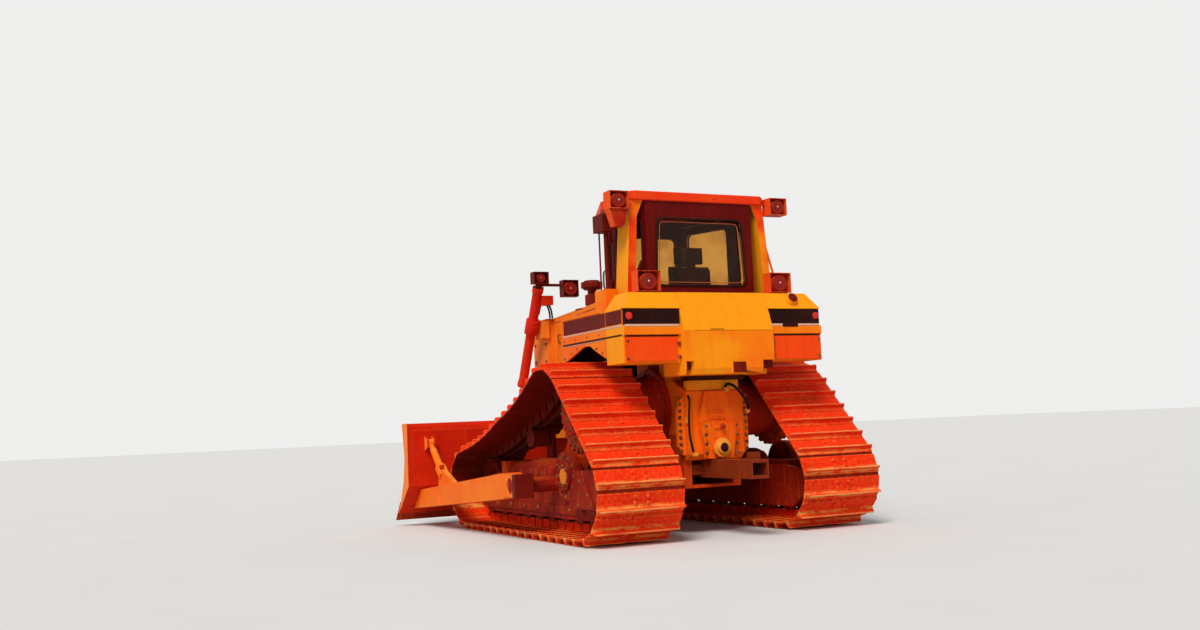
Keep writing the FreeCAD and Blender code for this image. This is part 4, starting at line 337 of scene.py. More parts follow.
CASTING = weathered("casting_paint", (0.56, 0.045, 0.005), (0.4, 0.016, 0.004), dust=(0.8, 0.16, 0.02),
    dust_amount=0.5, mud_top=1.0, mud=0.3, wear=0.8, streaks=0.45, bump=0.6)
FRAME_RUST = weathered("frame_rust", (0.27, 0.01, 0.004), (0.14, 0.005, 0.003), dust=(0.56, 0.07, 0.012),
    dust_amount=0.7, mud_top=0.9, mud=0.35, wear=0.8, streaks=0.75, bump=0.8)
BOLT = weathered("bolt_steel", (0.13, 0.018, 0.007), (0.22, 0.04, 0.012), bare=(0.55, 0.22, 0.08), wear=1.0,
    streaks=0.0, metallic=0.4)


def placed(point):
    """A point as it is, or three numbers counted as in spot()."""
    return point if isinstance(point, Vector) else spot(*point)


def body_of(node):
    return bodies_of(frame["nodes"][node])[0]


def cover(node, material):
    """A CAD piece shown as it is, in this material."""
    slots = frame["nodes"][node].data.materials
    slots.clear()
    slots.append(material)


def settle(piece):
    """Modifiers made into plain mesh."""
    drawn = bpy.data.meshes.new_from_object(piece.evaluated_get(bpy.context.evaluated_depsgraph_get()))
    piece.modifiers.clear()
    piece.data = drawn
    return piece


def shown(name, mesh, material, node, stands_for=(), crease=38):
    """A finished mesh on the body of a CAD piece."""
    mesh.materials.clear()
    mesh.materials.append(material)
    mesh.shade_smooth()
    mesh.set_sharp_from_angle(angle=math.radians(crease))
    piece = bpy.data.objects.new(name, mesh)
    scene.collection.objects.link(piece)
    if stands_for:
        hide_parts(*stands_for)
    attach(piece, body_of(node))
    return piece


def rounded(node, width, material, segments=2):
    """The CAD piece's own shape with its sharp edges rounded, shown in its place."""
    mesh = frame["nodes"][node].data.copy()
    shape = bmesh.new()
    shape.from_mesh(mesh)
    bmesh.ops.remove_doubles(shape, verts=shape.verts, dist=0.00005)
    bmesh.ops.dissolve_limit(shape, angle_limit=math.radians(1.5), verts=shape.verts, edges=shape.edges)
    bmesh.ops.recalc_face_normals(shape, faces=shape.faces)
    shape.to_mesh(mesh)
    shape.free()
    piece = bpy.data.objects.new(node + "_dressed", mesh)
    scene.collection.objects.link(piece)
    soft = piece.modifiers.new("edges", "BEVEL")
    soft.width = width
    soft.segments = segments
    soft.limit_method = "ANGLE"
    soft.angle_limit = math.radians(25)
    soft.harden_normals = True
    mesh.materials.clear()
    mesh.materials.append(material)
    settle(piece)
    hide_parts(node)
    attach(piece, body_of(node))


def stamp_tree():
    """Copies a pattern piece onto points, each turned and stretched as its point says, randomly spun."""
    tree = bpy.data.node_groups.new("stamped_copies", "GeometryNodeTree")
    for label, kind in (("Points", "NodeSocketGeometry"), ("Pattern", "NodeSocketObject"),
            ("Finish", "NodeSocketMaterial"), ("Spin", "NodeSocketFloat")):
        tree.interface.new_socket(label, in_out="INPUT", socket_type=kind)
    tree.interface.new_socket("Copies", in_out="OUTPUT", socket_type="NodeSocketGeometry")
    given, result = tree.nodes.new("NodeGroupInput"), tree.nodes.new("NodeGroupOutput")
    pattern = add(tree, "GeometryNodeObjectInfo", {"Object": given.outputs["Pattern"]})
    turn = add(tree, "GeometryNodeInputNamedAttribute", {"Name": "turn"}, data_type="FLOAT_VECTOR")
    grow = add(tree, "GeometryNodeInputNamedAttribute", {"Name": "grow"}, data_type="FLOAT_VECTOR")
    turned = add(tree, "FunctionNodeEulerToRotation", {0: turn.outputs[0]})
    chance = add(tree, "FunctionNodeRandomValue", {"Seed": 7}, data_type="FLOAT")
    amount = add(tree, "ShaderNodeMath", {0: chance.outputs[1], 1: given.outputs["Spin"]},
        operation="MULTIPLY")
    about = add(tree, "ShaderNodeCombineXYZ", {"Z": amount.outputs[0]})
    spun = add(tree, "FunctionNodeEulerToRotation", {0: about.outputs[0]})
    both = add(tree, "FunctionNodeRotateRotation", {0: turned.outputs[0], 1: spun.outputs[0]},
        rotation_space="LOCAL")
    copies = add(tree, "GeometryNodeInstanceOnPoints", {"Points": given.outputs["Points"],
        "Instance": pattern.outputs["Geometry"], "Rotation": both.outputs[0], "Scale": grow.outputs[0]})
    real = add(tree, "GeometryNodeRealizeInstances", {0: copies.outputs[0]})
    finish = add(tree, "GeometryNodeSetMaterial", {"Geometry": real.outputs[0],
        "Material": given.outputs["Finish"]})
    tree.links.new(finish.outputs[0], result.inputs[0])
    return tree


STAMP = stamp_tree()


def stamped(name, pattern, rows, material, node, spin=0.0, stands_for=(), crease=38):
    """Copies of a pattern mesh at rows of (place, turn, stretch), as one piece."""
    points = bpy.data.meshes.new(name)
    points.from_pydata([row[0] for row in rows], [], [])
    for label, column in (("turn", 1), ("grow", 2)):
        layer = points.attributes.new(label, "FLOAT_VECTOR", "POINT")
        for index, row in enumerate(rows):
            layer.data[index].vector = row[column]
    source = bpy.data.objects.new(name + "_pattern", pattern)
    holder = bpy.data.objects.new(name + "_points", points)
    scene.collection.objects.link(source)
    scene.collection.objects.link(holder)
    copies = holder.modifiers.new("copies", "NODES")
    copies.node_group = STAMP
    sockets = {item.name: item.identifier for item in STAMP.interface.items_tree}
    copies[sockets["Pattern"]] = source
    copies[sockets["Finish"]] = material
    copies[sockets["Spin"]] = spin
    mesh = settle(holder).data
    bpy.data.objects.remove(holder)
    bpy.data.objects.remove(source)
    return shown(name, mesh, material, node, stands_for, crease)


def mesh_of(name, shape):
    mesh = bpy.data.meshes.new(name)
    shape.to_mesh(mesh)
    shape.free()
    return mesh


def lathe(shape, profile, middle, axis, steps):
    """Adds a round form to a shape: profile is (along the axis, radius) from end to end."""
    turn = Vector((0, 0, 1)).rotation_difference(Vector(axis)).to_matrix()
    rings = []
    for along, radius in profile:
        count = steps if radius > 0 else 1
        rings.append([shape.verts.new(Vector(middle)
            + turn @ Vector((radius * math.cos(2 * math.pi * k / steps),
            radius * math.sin(2 * math.pi * k / steps), along))) for k in range(count)])
    for low, high in zip(rings, rings[1:]):
        for k in range(steps):
            corners = [low[k % len(low)], low[(k + 1) % len(low)], high[(k + 1) % len(high)],
                high[k % len(high)]]
            kept = list(dict.fromkeys(corners))
            if len(kept) > 2:
                shape.faces.new(kept)
    for ring, flip in ((rings[0], True), (rings[-1], False)):
        if len(ring) > 1:
            shape.faces.new(ring[::-1] if flip else ring)


def turned(name, profile, places, material, node, steps=28):
    """Round pieces of one profile at places of (middle, axis), as one mesh."""
    shape = bmesh.new()
    for middle, axis in places:
        lathe(shape, profile, placed(middle), axis, steps)
    bmesh.ops.recalc_face_normals(shape, faces=shape.faces)
    return shown(name, mesh_of(name, shape), material, node)


def bolt_head():
    """A hexagon head on its washer, one unit from its middle to a corner."""
    shape = bmesh.new()
    lathe(shape, [(0.0, 1.45), (0.18, 1.45), (0.24, 1.32), (0.24, 0.0)], (0, 0, 0), (0, 0, 1), 14)
    lathe(shape, [(0.2, 1.0), (0.78, 1.0), (0.9, 0.84), (0.9, 0.0)], (0, 0, 0), (0, 0, 1), 6)
    bmesh.ops.recalc_face_normals(shape, faces=shape.faces)
    return mesh_of("bolt_head", shape)


BOLT_HEAD = bolt_head()


def toward(direction):
    return Vector(direction).to_track_quat("Z", "Y").to_euler()


def bolt_at(place, axis, size):
    """A row for one bolt."""
    return placed(place), toward(axis), (size, size, size)


def ring(middle, axis, radius, count, size, first=0.0):
    """Rows for bolts on a circle."""
    turn = Vector((0, 0, 1)).rotation_difference(Vector(axis)).to_matrix()
    angles = [first + 2 * math.pi * k / count for k in range(count)]
    return [bolt_at(placed(middle) + turn @ Vector((radius * math.cos(angle), radius * math.sin(angle), 0)),
        axis, size) for angle in angles]


def line(first, last, count, axis, size):
    """Rows for bolts on a straight line."""
    return [bolt_at(placed(first).lerp(placed(last), k / (count - 1)), axis, size) for k in range(count)]


def bolts(name, rows, node):
    """Bolt heads at these rows, each turned at random as a wrench leaves them."""
    return stamped(name, BOLT_HEAD, rows, BOLT, node, spin=math.pi / 3)


SIDES = (("left", 1), ("right", -1))
TRACK_Y = 1.143
PIVOT_X, PIVOT_Z = 0.855, 0.641
END_PLATE_Y = 1.437
RUSTY_IRON = weathered("rusty_iron", (0.34, 0.016, 0.004), (0.2, 0.009, 0.003), dust=(0.6, 0.08, 0.014),
    bare=(0.55, 0.2, 0.07), dust_amount=0.7, mud_top=1.2, mud=0.7, wear=1.0, streaks=0.2, bump=0.8)
for side, hand in SIDES:
    rounded("track_frame_" + side, 0.006, FRAME_RUST)
    out = (0, hand, 0)
    rows = ring((PIVOT_X, hand * 1.366, PIVOT_Z), out, 0.105, 8, 0.016)
    rows += ring((PIVOT_X, hand * 1.344, PIVOT_Z), out, 0.205, 12, 0.014)
    rows += [bolt_at((x, hand * 1.327, 0.3), out, 0.02) for x in (0.24, 0.49, 0.82, 1.24, 1.63, 2.0, 2.4,
        2.8, 3.1)]
    rows += line((0.06, hand * END_PLATE_Y, 0.37), (0.22, hand * END_PLATE_Y, 0.61), 3, out, 0.014)
    rows += line((0.36, hand * END_PLATE_Y, 0.37), (0.31, hand * END_PLATE_Y, 0.61), 3, out, 0.014)
    rows += line((-0.12, hand * 1.422, 0.38), (-0.05, hand * 1.422, 0.68), 4, out, 0.013)
    bolts("track_frame_bolts_" + side, rows, "track_frame_" + side)
    turned("pivot_disc_" + side, [(0.0, 0.082), (0.006, 0.08), (0.006, 0.0)],
        [((PIVOT_X, hand * 1.364, PIVOT_Z), out)], weathered("pivot_disc_paint_" + side, (0.84, 0.28, 0.03),
        (0.74, 0.17, 0.015), mud=0.3, wear=0.4), "track_frame_" + side)

# Tracks: forged links pinned into a chain, each with a bolted shoe with one straight bar across it.
# The links are rusty, the bars' tips rubbed bright, and pale mud has dried along their roots.
PITCH = 0.2032
PIN_TALL, IDLER_R, IDLER_APART = 0.125, 0.365, 3.25
SPROCKET_X, SPROCKET_Z, SPROCKET_R = 0.83, 1.275, 0.404
CARRIER_X, CARRIER_Z, SAG = 2.0, 1.195, 0.055
SHOE_HALF = 0.457
IDLER_Z = IDLER_R + PIN_TALL


def chain_pins():
    """The pins' places round the two idlers, the sprocket and the carrier roller, evenly apart."""
    rings = [(0.0, IDLER_Z, IDLER_R), (SPROCKET_X, SPROCKET_Z, SPROCKET_R), (CARRIER_X, CARRIER_Z, 0.0),
        (IDLER_APART, IDLER_Z, IDLER_R)]
    ends = []
    for first, second in zip(rings, rings[1:] + rings[:1]):
        run = math.dist(first[:2], second[:2])
        normal = (math.atan2(second[1] - first[1], second[0] - first[0]) + math.pi / 2
            - math.asin((first[2] - second[2]) / run))
        ends.append((normal, [(r[0] + r[2] * math.cos(normal), r[1] + r[2] * math.sin(normal))
            for r in (first, second)]))
    path = []
    for index, (x, z, radius) in enumerate(rings):
        start, stop = ends[index - 1][0], ends[index][0]
        while stop > start:
            stop -= 2 * math.pi
        turns = 96 if radius else 0
        path += [(x + radius * math.cos(start + (stop - start) * k / max(turns, 1)),
            z + radius * math.sin(start + (stop - start) * k / max(turns, 1))) for k in range(turns + 1)]
        if index in (1, 2):
            (x0, z0), (x1, z1) = ends[index][1]
            path += [(x0 + (x1 - x0) * k / 24, z0 + (z1 - z0) * k / 24 - 4 * SAG * k / 24 * (1 - k / 24))
                for k in range(1, 24)]
    legs = [math.dist(path[k], path[(k + 1) % len(path)]) for k in range(len(path))]
    count = round(sum(legs) / PITCH)
    pins, leg, walked = [], 0, 0.0
    for number in range(count):
        goal = sum(legs) * number / count
        while walked + legs[leg] < goal:
            walked += legs[leg]
            leg += 1
        share = (goal - walked) / legs[leg]
        (x0, z0), (x1, z1) = path[leg], path[(leg + 1) % len(path)]
        pins.append((x0 + (x1 - x0) * share, z0 + (z1 - z0) * share))
    return pins


def prism(shape, outline, low, high):
    """Adds a plate to a shape: outline is (x, z), from y = low to y = high."""
    near = [shape.verts.new((x, low, z)) for x, z in outline]
    far = [shape.verts.new((x, high, z)) for x, z in outline]
    shape.faces.new(near)
    shape.faces.new(far[::-1])
    for k in range(len(outline)):
        shape.faces.new((near[k], far[k], far[(k + 1) % len(far)], near[(k + 1) % len(near)]))


GROUSER_X = 0.0447
SHOE_LOW, SHOE_TOP, TIP = 0.049, 0.065, 0.125


def link_mesh():
    """One chain link with its shoe, from its pin at the origin to the next along X, outwards along Z."""
    shape = bmesh.new()
    profile = [(0.0026, SHOE_LOW), (0.0026, SHOE_TOP - 0.006), (0.006, SHOE_TOP - 0.001), (0.012, SHOE_TOP)]
    profile += [(GROUSER_X + away, up) for away, up in ((-0.024, SHOE_TOP), (-0.0152, 0.069),
        (-0.0105, 0.086), (-0.0085, 0.119), (-0.005, TIP - 0.0005), (0.004, TIP), (0.0085, 0.118),
        (0.0105, 0.086), (0.0152, 0.069), (0.024, SHOE_TOP))]
    profile += [(PITCH * 0.5, SHOE_TOP), (PITCH * 0.8, SHOE_TOP), (PITCH - 0.008, SHOE_TOP - 0.001),
        (PITCH - 0.0026, SHOE_TOP - 0.005), (PITCH - 0.0022, SHOE_LOW - 0.0008),
        (PITCH + 0.018, SHOE_LOW - 0.004), (PITCH + 0.034, SHOE_LOW - 0.01),
        (PITCH + 0.034, SHOE_LOW - 0.015), (PITCH + 0.016, SHOE_LOW - 0.0105),
        (PITCH - 0.02, SHOE_LOW - 0.008), (PITCH - 0.03, SHOE_LOW), (PITCH * 0.5, SHOE_LOW)]
    cuts = [-SHOE_HALF, -SHOE_HALF + 0.012, -0.38, -0.27, -0.15, -0.03, 0.09, 0.2, 0.31, 0.4,
        SHOE_HALF - 0.012, SHOE_HALF]
    rows = []
    for number, y in enumerate(cuts):
        worn = 0.0025 * math.sin(number * 2.3) - 0.0025
        end = number in (0, len(cuts) - 1)
        rows.append([shape.verts.new((x, y, z + (worn if z > 0.11 else 0.0)
            - (0.016 if end and z > 0.11 else 0.0))) for x, z in profile])
    for first, second in zip(rows, rows[1:]):
        for k in range(len(profile)):
            after = (k + 1) % len(profile)
            shape.faces.new((first[k], first[after], second[after], second[k]))
    shape.faces.new(rows[0])
    shape.faces.new(rows[-1][::-1])
    for hand in (-1, 1):
        rear = [(-0.04, -0.026), (-0.024, -0.044), (0.116, -0.045), (0.116, 0.0487), (-0.024, 0.0487),
            (-0.04, 0.03)]
        ahead_half = [(PITCH - x, z) for x, z in rear[::-1]]
        prism(shape, rear, *sorted((hand * 0.046, hand * 0.0655)))
        prism(shape, ahead_half, *sorted((hand * 0.0665, hand * 0.086)))
        lathe(shape, [(0.0, 0.026), (0.004, 0.026), (0.006, 0.019), (0.006, 0.0)],
            (PITCH, hand * 0.0855, 0), (0, hand, 0), 12)
        for x in (0.098, 0.158):
            lathe(shape, [(0.0, 0.0175), (0.012, 0.0175), (0.0145, 0.0145), (0.0145, 0.0)],
                (x, hand * 0.0665, SHOE_TOP - 0.0005), (0, 0, 1), 6)
    lathe(shape, [(-0.0455, 0.03), (0.0455, 0.03)], (0, 0, 0), (0, 1, 0), 14)
    bmesh.ops.recalc_face_normals(shape, faces=shape.faces)
    mesh = mesh_of("link", shape)
    for label, pick in (("along", lambda at: at.x / PITCH), ("out", lambda at: at.z)):
        layer = mesh.attributes.new(label, "FLOAT", "POINT")
        for index, vertex in enumerate(mesh.vertices):
            layer.data[index].value = pick(vertex.co)
    return mesh


def shoe_finish():
    """Rusty steel with bright tips, mud along the bars' roots, painted shade over the links and the shoes'
    undersides away from the ground, and a polished inside of the rails.
    """
    material = weathered("track_rust", (0.84, 0.024, 0.004), (0.6, 0.012, 0.003), dust=(0.86, 0.115, 0.012),
        bare=(0.86, 0.3, 0.06), dust_amount=0.45, mud_top=2.0, mud=0.5, wear=0.8, streaks=0.0, bump=0.9)
    tree = material.node_tree
    shader = next(node for node in tree.nodes if node.type == "BSDF_PRINCIPLED")
    weather = next(node for node in tree.nodes if node.type == "GROUP")
    place = add(tree, "ShaderNodeTexCoord").outputs["Object"]
    along = add(tree, "ShaderNodeAttribute", attribute_name="along").outputs["Fac"]
    out = add(tree, "ShaderNodeAttribute", attribute_name="out").outputs["Fac"]
    long_way = add(tree, "ShaderNodeMapping", {"Vector": place, "Scale": (9.0, 3.0, 9.0)}).outputs[0]
    smear = noise(tree, long_way, 1.6, 6.0, 0.75)
    from_bar = add(tree, "ShaderNodeMath", {0: along, 1: GROUSER_X / PITCH},
        operation="SUBTRACT").outputs[0]
    from_bar = add(tree, "ShaderNodeMath", {0: from_bar}, operation="ABSOLUTE").outputs[0]
    near_root = ramp(tree, from_bar, 0.26, 0.07)
    low_down = ramp(tree, out, 0.1, 0.07)
    height = add(tree, "ShaderNodeSeparateXYZ", {0: place}).outputs["Z"]
    lower_run = ramp(tree, height, 1.35, 0.45, 0.12, 1.0)
    mud = times(tree, near_root, low_down, ramp(tree, smear, 0.4, 0.6), lower_run)
    muddy = mixed(tree, mud, weather.outputs["Color"], (0.86, 0.36, 0.075, 1))
    film = times(tree, ramp(tree, smear, 0.52, 0.7), ramp(tree, out, 0.055, 0.064))
    filmed = mixed(tree, times(tree, film, 0.45), muddy, (0.82, 0.085, 0.01, 1))
    tip = times(tree, ramp(tree, out, 0.112, 0.121), ramp(tree, smear, 0.3, 0.55),
        ramp(tree, height, 1.25, 0.75, 0.35, 1.0))
    tipped = mixed(tree, times(tree, tip, 0.85), filmed, (0.84, 0.4, 0.12, 1))
    # Painted shade: the links and the shoes' undersides away from the ground are darkened nearly to black.
    shaded = times(tree, ramp(tree, out, 0.056, 0.049), ramp(tree, height, 0.3, 0.6))
    shaded_under = mixed(tree, times(tree, shaded, 0.85), tipped, (0.04, 0.004, 0.002, 1))
    inside = ramp(tree, out, -0.036, -0.0445)
    final = mixed(tree, times(tree, inside, 0.7), shaded_under, (0.22, 0.06, 0.02, 1))
    tree.links.new(final, shader.inputs["Base Color"])
    tree.links.new(times(tree, calc(tree, "MAXIMUM", tip, inside), 0.5), shader.inputs["Metallic"])
    return material


PINS = chain_pins()
SHOE_FINISH = shoe_finish()
LINK = link_mesh()
for side, hand in SIDES:
    rows = []
    for (x0, z0), (x1, z1) in zip(PINS, PINS[1:] + PINS[:1]):
        length = math.dist((x0, z0), (x1, z1)) / PITCH
        rows.append((spot(x0, hand * TRACK_Y, z0), Euler((0, -math.atan2(z1 - z0, x1 - x0), 0)),
            (length, 1, 1)))
    stamped("track_chain_" + side, LINK, rows, SHOE_FINISH, "track_" + side, stands_for=("track_" + side,),
        crease=30)

# Rollers and idlers: cast steel wheels that run on the links' inner rails, rubbed bright on their treads,
# with bolted end caps on the idlers' axles.
WHEEL = weathered("wheel_iron", (0.2, 0.01, 0.004), (0.12, 0.007, 0.003), dust=(0.42, 0.055, 0.01),
    bare=(0.42, 0.2, 0.1), dust_amount=0.6, mud_top=1.3, mud=0.7, wear=1.0, bump=0.6)
for side, hand in SIDES:
    cover("track_rollers_" + side, WHEEL)
    cover("idlers_" + side, WHEEL)
    out = (0, hand, 0)
    rows = []
    for x in (0.0, IDLER_APART):
        rows += ring((x, hand * (TRACK_Y + 0.095), IDLER_Z), out, 0.115, 10, 0.013)
        rows += ring((x, hand * (TRACK_Y + 0.1315), IDLER_Z), out, 0.038, 4, 0.008)
    bolts("idler_bolts_" + side, rows, "idlers_" + side)

# Sprockets and final drives: a ring of toothed segments bolted to a cast hub, and the drive's housing
# bolted to the case by a wide flange. Amber paint under rust, oil and dust.
DRIVE_RED = weathered("drive_paint", (0.52, 0.022, 0.004), (0.34, 0.01, 0.003), dust=(0.2, 0.012, 0.004),
    dust_amount=0.7, mud_top=1.0, mud=0.3, wear=0.8, streaks=0.4, bump=0.6)
SEGMENT_Y = 1.1805
for side, hand in SIDES:
    cover("sprocket_" + side, CASTING)
    cover("final_drive_" + side, DRIVE_RED)
    out = (0, hand, 0)
    rows = ring((SPROCKET_X, hand * SEGMENT_Y, SPROCKET_Z), out, 0.352, 25, 0.016)
    rows += ring((SPROCKET_X, hand * SEGMENT_Y, SPROCKET_Z), out, 0.285, 10, 0.014)
    rows += ring((SPROCKET_X, hand * 1.105, SPROCKET_Z), (0, -hand, 0), 0.345, 25, 0.014)
    bolts("sprocket_bolts_" + side, rows, "sprocket_" + side)
    rows = ring((SPROCKET_X, hand * 1.2855, SPROCKET_Z), out, 0.168, 12, 0.014)
    rows += ring((SPROCKET_X, hand * 1.3005, SPROCKET_Z), out, 0.06, 6, 0.012)
    rows += ring((SPROCKET_X, hand * 0.3715, SPROCKET_Z), out, 0.404, 30, 0.014)
    rows += ring((SPROCKET_X, hand * 0.41, SPROCKET_Z), out, 0.352, 16, 0.012)
    bolts("final_drive_bolts_" + side, rows, "final_drive_" + side)

# Main frame, rear case and its cover: heavy castings and plates that carry everything. The cover is held
# by a row of bolts down each side; a capped take-off shaft, a plug and short pipes show below the tank.
cover("main_frame", CASTING)
CASE_PAINT = weathered("case_paint", (0.94, 0.15, 0.004), (0.9, 0.07, 0.003), dust=(0.4, 0.02, 0.004),
    dust_amount=0.7, mud_top=1.0, mud=0.5, wear=0.8, streaks=0.6, bump=0.6)
rounded("rear_case", 0.004, CASE_PAINT)
rounded("case_cover", 0.004, CASE_PAINT)
BACKWARD = (-1, 0, 0)
TAKE_OFF_Z = 0.868
BRASSY = weathered("amber_fitting", (0.86, 0.33, 0.035), (0.74, 0.2, 0.02), mud=0.2, wear=0.6)
CLAY_RED = weathered("red_plug", (0.45, 0.03, 0.015), (0.36, 0.03, 0.015), mud=0.1, wear=0.3)
# Black rubber for hoses and knobs, also used for sheets of painted shade in the fenders.
BLACK_RUBBER_AND_SHADE = weathered("black_rubber_and_shade", (0.014, 0.008, 0.007), (0.022, 0.012, 0.01),
    dust=(0.1, 0.03, 0.012), bare=(0.02, 0.015, 0.012), dust_amount=0.35, mud=0.3, wear=0.2, bump=0.2)
# Dark paint for dark parts, also used for blocks and strips of painted shade.
DARK_PAINT_AND_SHADE = weathered("dark_paint", (0.034, 0.004, 0.003), (0.055, 0.007, 0.005), dust=(0.17, 0.03, 0.01),
    bare=(0.1, 0.03, 0.015), dust_amount=0.3, mud_top=0.4, mud=0.3, wear=0.4, bump=0.12)
rows = []
for hand in (1, -1):
    rows += line((0.139, hand * 0.386, 0.85), (0.139, hand * 0.386, 1.38), 9, BACKWARD, 0.015)
    rows += line((-0.0105, hand * 0.178, 0.815), (-0.0105, hand * 0.178, 1.085), 4, BACKWARD, 0.014)
rows += ring((-0.011, 0.0, TAKE_OFF_Z), BACKWARD, 0.08, 8, 0.01, math.pi / 8)
bolts("case_bolts", rows, "rear_case")
turned("take_off_cap", [(0.0, 0.096), (0.01, 0.096), (0.012, 0.092), (0.012, 0.07), (0.026, 0.068),
    (0.04, 0.062), (0.046, 0.05), (0.046, 0.0)], [((-0.01, 0.0, TAKE_OFF_Z), BACKWARD)], BRASSY,
    "case_cover")
turned("take_off_face", [(0.0, 0.047), (0.004, 0.045), (0.007, 0.038), (0.007, 0.018), (0.013, 0.016),
    (0.013, 0.0)], [((-0.0558, 0.0, TAKE_OFF_Z), BACKWARD)], DARK_PAINT_AND_SHADE, "case_cover")
turned("oil_plug", [(0.0, 0.03), (0.014, 0.03), (0.017, 0.024), (0.017, 0.013), (0.034, 0.013),
    (0.034, 0.0)], [((-0.01, -0.02, 1.078), BACKWARD)], CLAY_RED, "case_cover", steps=6)


def tube(shape, path, radius):
    """Adds a closed tube along a smoothed path to a shape."""
    steps = 10
    smooth = []
    for k in range(len(path) - 1):
        before, start, stop, after = (path[max(k - 1, 0)], path[k], path[k + 1],
            path[min(k + 2, len(path) - 1)])
        for step in range(8):
            t = step / 8
            smooth.append(0.5 * ((2 * start) + (stop - before) * t
                + (2 * before - 5 * start + 4 * stop - after) * t * t
                + (3 * start - before - 3 * stop + after) * t ** 3))
    smooth.append(path[-1])
    side = (smooth[1] - smooth[0]).orthogonal().normalized()
    rings = []
    for k, point in enumerate(smooth):
        way = (smooth[min(k + 1, len(smooth) - 1)] - smooth[max(k - 1, 0)]).normalized()
        side = (side - way * side.dot(way)).normalized()
        across = way.cross(side)
        rings.append([shape.verts.new(point + radius * (math.cos(2 * math.pi * n / steps) * side
            + math.sin(2 * math.pi * n / steps) * across)) for n in range(steps)])
    for low, high in zip(rings, rings[1:]):
        for n in range(steps):
            shape.faces.new((low[n], low[(n + 1) % steps], high[(n + 1) % steps], high[n]))
    shape.faces.new(rings[0][::-1])
    shape.faces.new(rings[-1])


def tubes(name, routes, material, node):
    """Pipes, hoses, handles or rails of (path, radius) as one piece."""
    shape = bmesh.new()
    for path, radius in routes:
        tube(shape, [placed(point) for point in path], radius)
    bmesh.ops.recalc_face_normals(shape, faces=shape.faces)
    return shown(name, mesh_of(name, shape), material, node)


def block(shape, low, high, bevel):
    """Adds a squared piece with softened edges to a shape."""
    made = bmesh.ops.create_cube(shape, size=1.0)["verts"]
    low, high = Vector(low), Vector(high)
    for vertex in made:
        vertex.co = Vector(((low[k] + high[k]) / 2 + vertex.co[k] * (high[k] - low[k])) for k in range(3))
    if bevel:
        edges = list({edge for vertex in made for edge in vertex.link_edges})
        bmesh.ops.bevel(shape, geom=edges, offset=bevel, segments=2, affect="EDGES")


def blocks(name, rows, material, node, bevel=0.004):
    """Squared pieces from (one corner, the opposite corner), as one mesh."""
    shape = bmesh.new()
    for first, second in rows:
        low = [min(pair) for pair in zip(placed(first), placed(second))]
        high = [max(pair) for pair in zip(placed(first), placed(second))]
        block(shape, low, high, bevel)
    bmesh.ops.recalc_face_normals(shape, faces=shape.faces)
    return shown(name, mesh_of(name, shape), material, node)


tubes("case_hose", [([(0.105, -0.131, 1.45), (0.05, -0.135, 1.5), (0.015, -0.2, 1.47), (0.02, -0.3, 1.37),
    (0.05, -0.375, 1.27), (0.12, -0.375, 1.22)], 0.015), ([(0.105, 0.3, 1.4), (0.06, 0.31, 1.34),
    (0.05, 0.33, 1.2), (0.055, 0.33, 1.02), (0.07, 0.3, 0.9), (0.105, 0.26, 0.8)], 0.011)], BLACK_RUBBER_AND_SHADE,
    "rear_case")
blocks("case_fittings", [((0.06, 0.285, 0.79), (0.112, 0.235, 0.83)),
    ((0.06, 0.345, 1.12), (0.112, 0.315, 1.19)), ((0.07, -0.36, 1.2), (0.112, -0.4, 1.25)),
    ((0.06, -0.11, 1.42), (0.112, -0.16, 1.47))], BRASSY, "rear_case")
# A dark block over the saddle between the tank and the case: painted shade.
blocks("tank_saddle", [((0.02, -0.33, 1.545), (0.16, 0.33, 1.632))], DARK_PAINT_AND_SHADE, "rear_case", 0.008)

# Drawbar: a long welded box of thick plate under the case, open at its rear, with a tow pin through it.
# Dark paint worn to rust, with mud thrown on it by the tracks.
BAR_PAINT = weathered("drawbar_paint", (0.2, 0.022, 0.006), (0.28, 0.04, 0.008), dust=(0.42, 0.095, 0.018),
    dust_amount=0.9, mud_top=0.75, mud=0.5, wear=0.9, streaks=0.2, bump=0.8)
rounded("drawbar", 0.004, BAR_PAINT)

# Fuel tank: a wide sheet steel tank across the whole rear, its rounded shoulders pressed, its seams
# welded and its face painted bright amber. A black band with a bright strip runs round it at two thirds.
# Painted light: the amber's faces turned up or to the left take its yellower faded colour.
AMBER = weathered("amber_paint", (0.92, 0.165, 0.003), (0.94, 0.34, 0.006), dust=(0.7, 0.075, 0.006),
    bare=(0.4, 0.05, 0.008), dust_amount=0.25, mud_top=1.9, mud=0.12, wear=0.45, streaks=0.25, bump=0.1,
    coat=0.05, lit_and_faded=0.9)
# A darker red-orange copy of the amber for the tank's lower side panels: painted shade under the band's
# ledge.
LOW_PANEL_SHADED = weathered("low_panel_shaded_paint", (0.9, 0.058, 0.004), (0.9, 0.09, 0.005), dust=(0.55, 0.045, 0.006),
    bare=(0.4, 0.04, 0.008), dust_amount=0.3, mud_top=2.2, mud=0.3, wear=0.5, streaks=0.3, bump=0.1,
    coat=0.05)
TANK_BLACK = weathered("band_black", (0.016, 0.004, 0.003), (0.03, 0.007, 0.005), dust=(0.16, 0.03, 0.01),
    dust_amount=0.4, mud=0.2, wear=0.4, streaks=0.1, bump=0.08)
STRIP = weathered("band_strip", (0.78, 0.42, 0.3), (0.66, 0.3, 0.19), bare=(0.6, 0.5, 0.45),
    dust_amount=0.3, mud=0.1, wear=0.4, metallic=0.3)
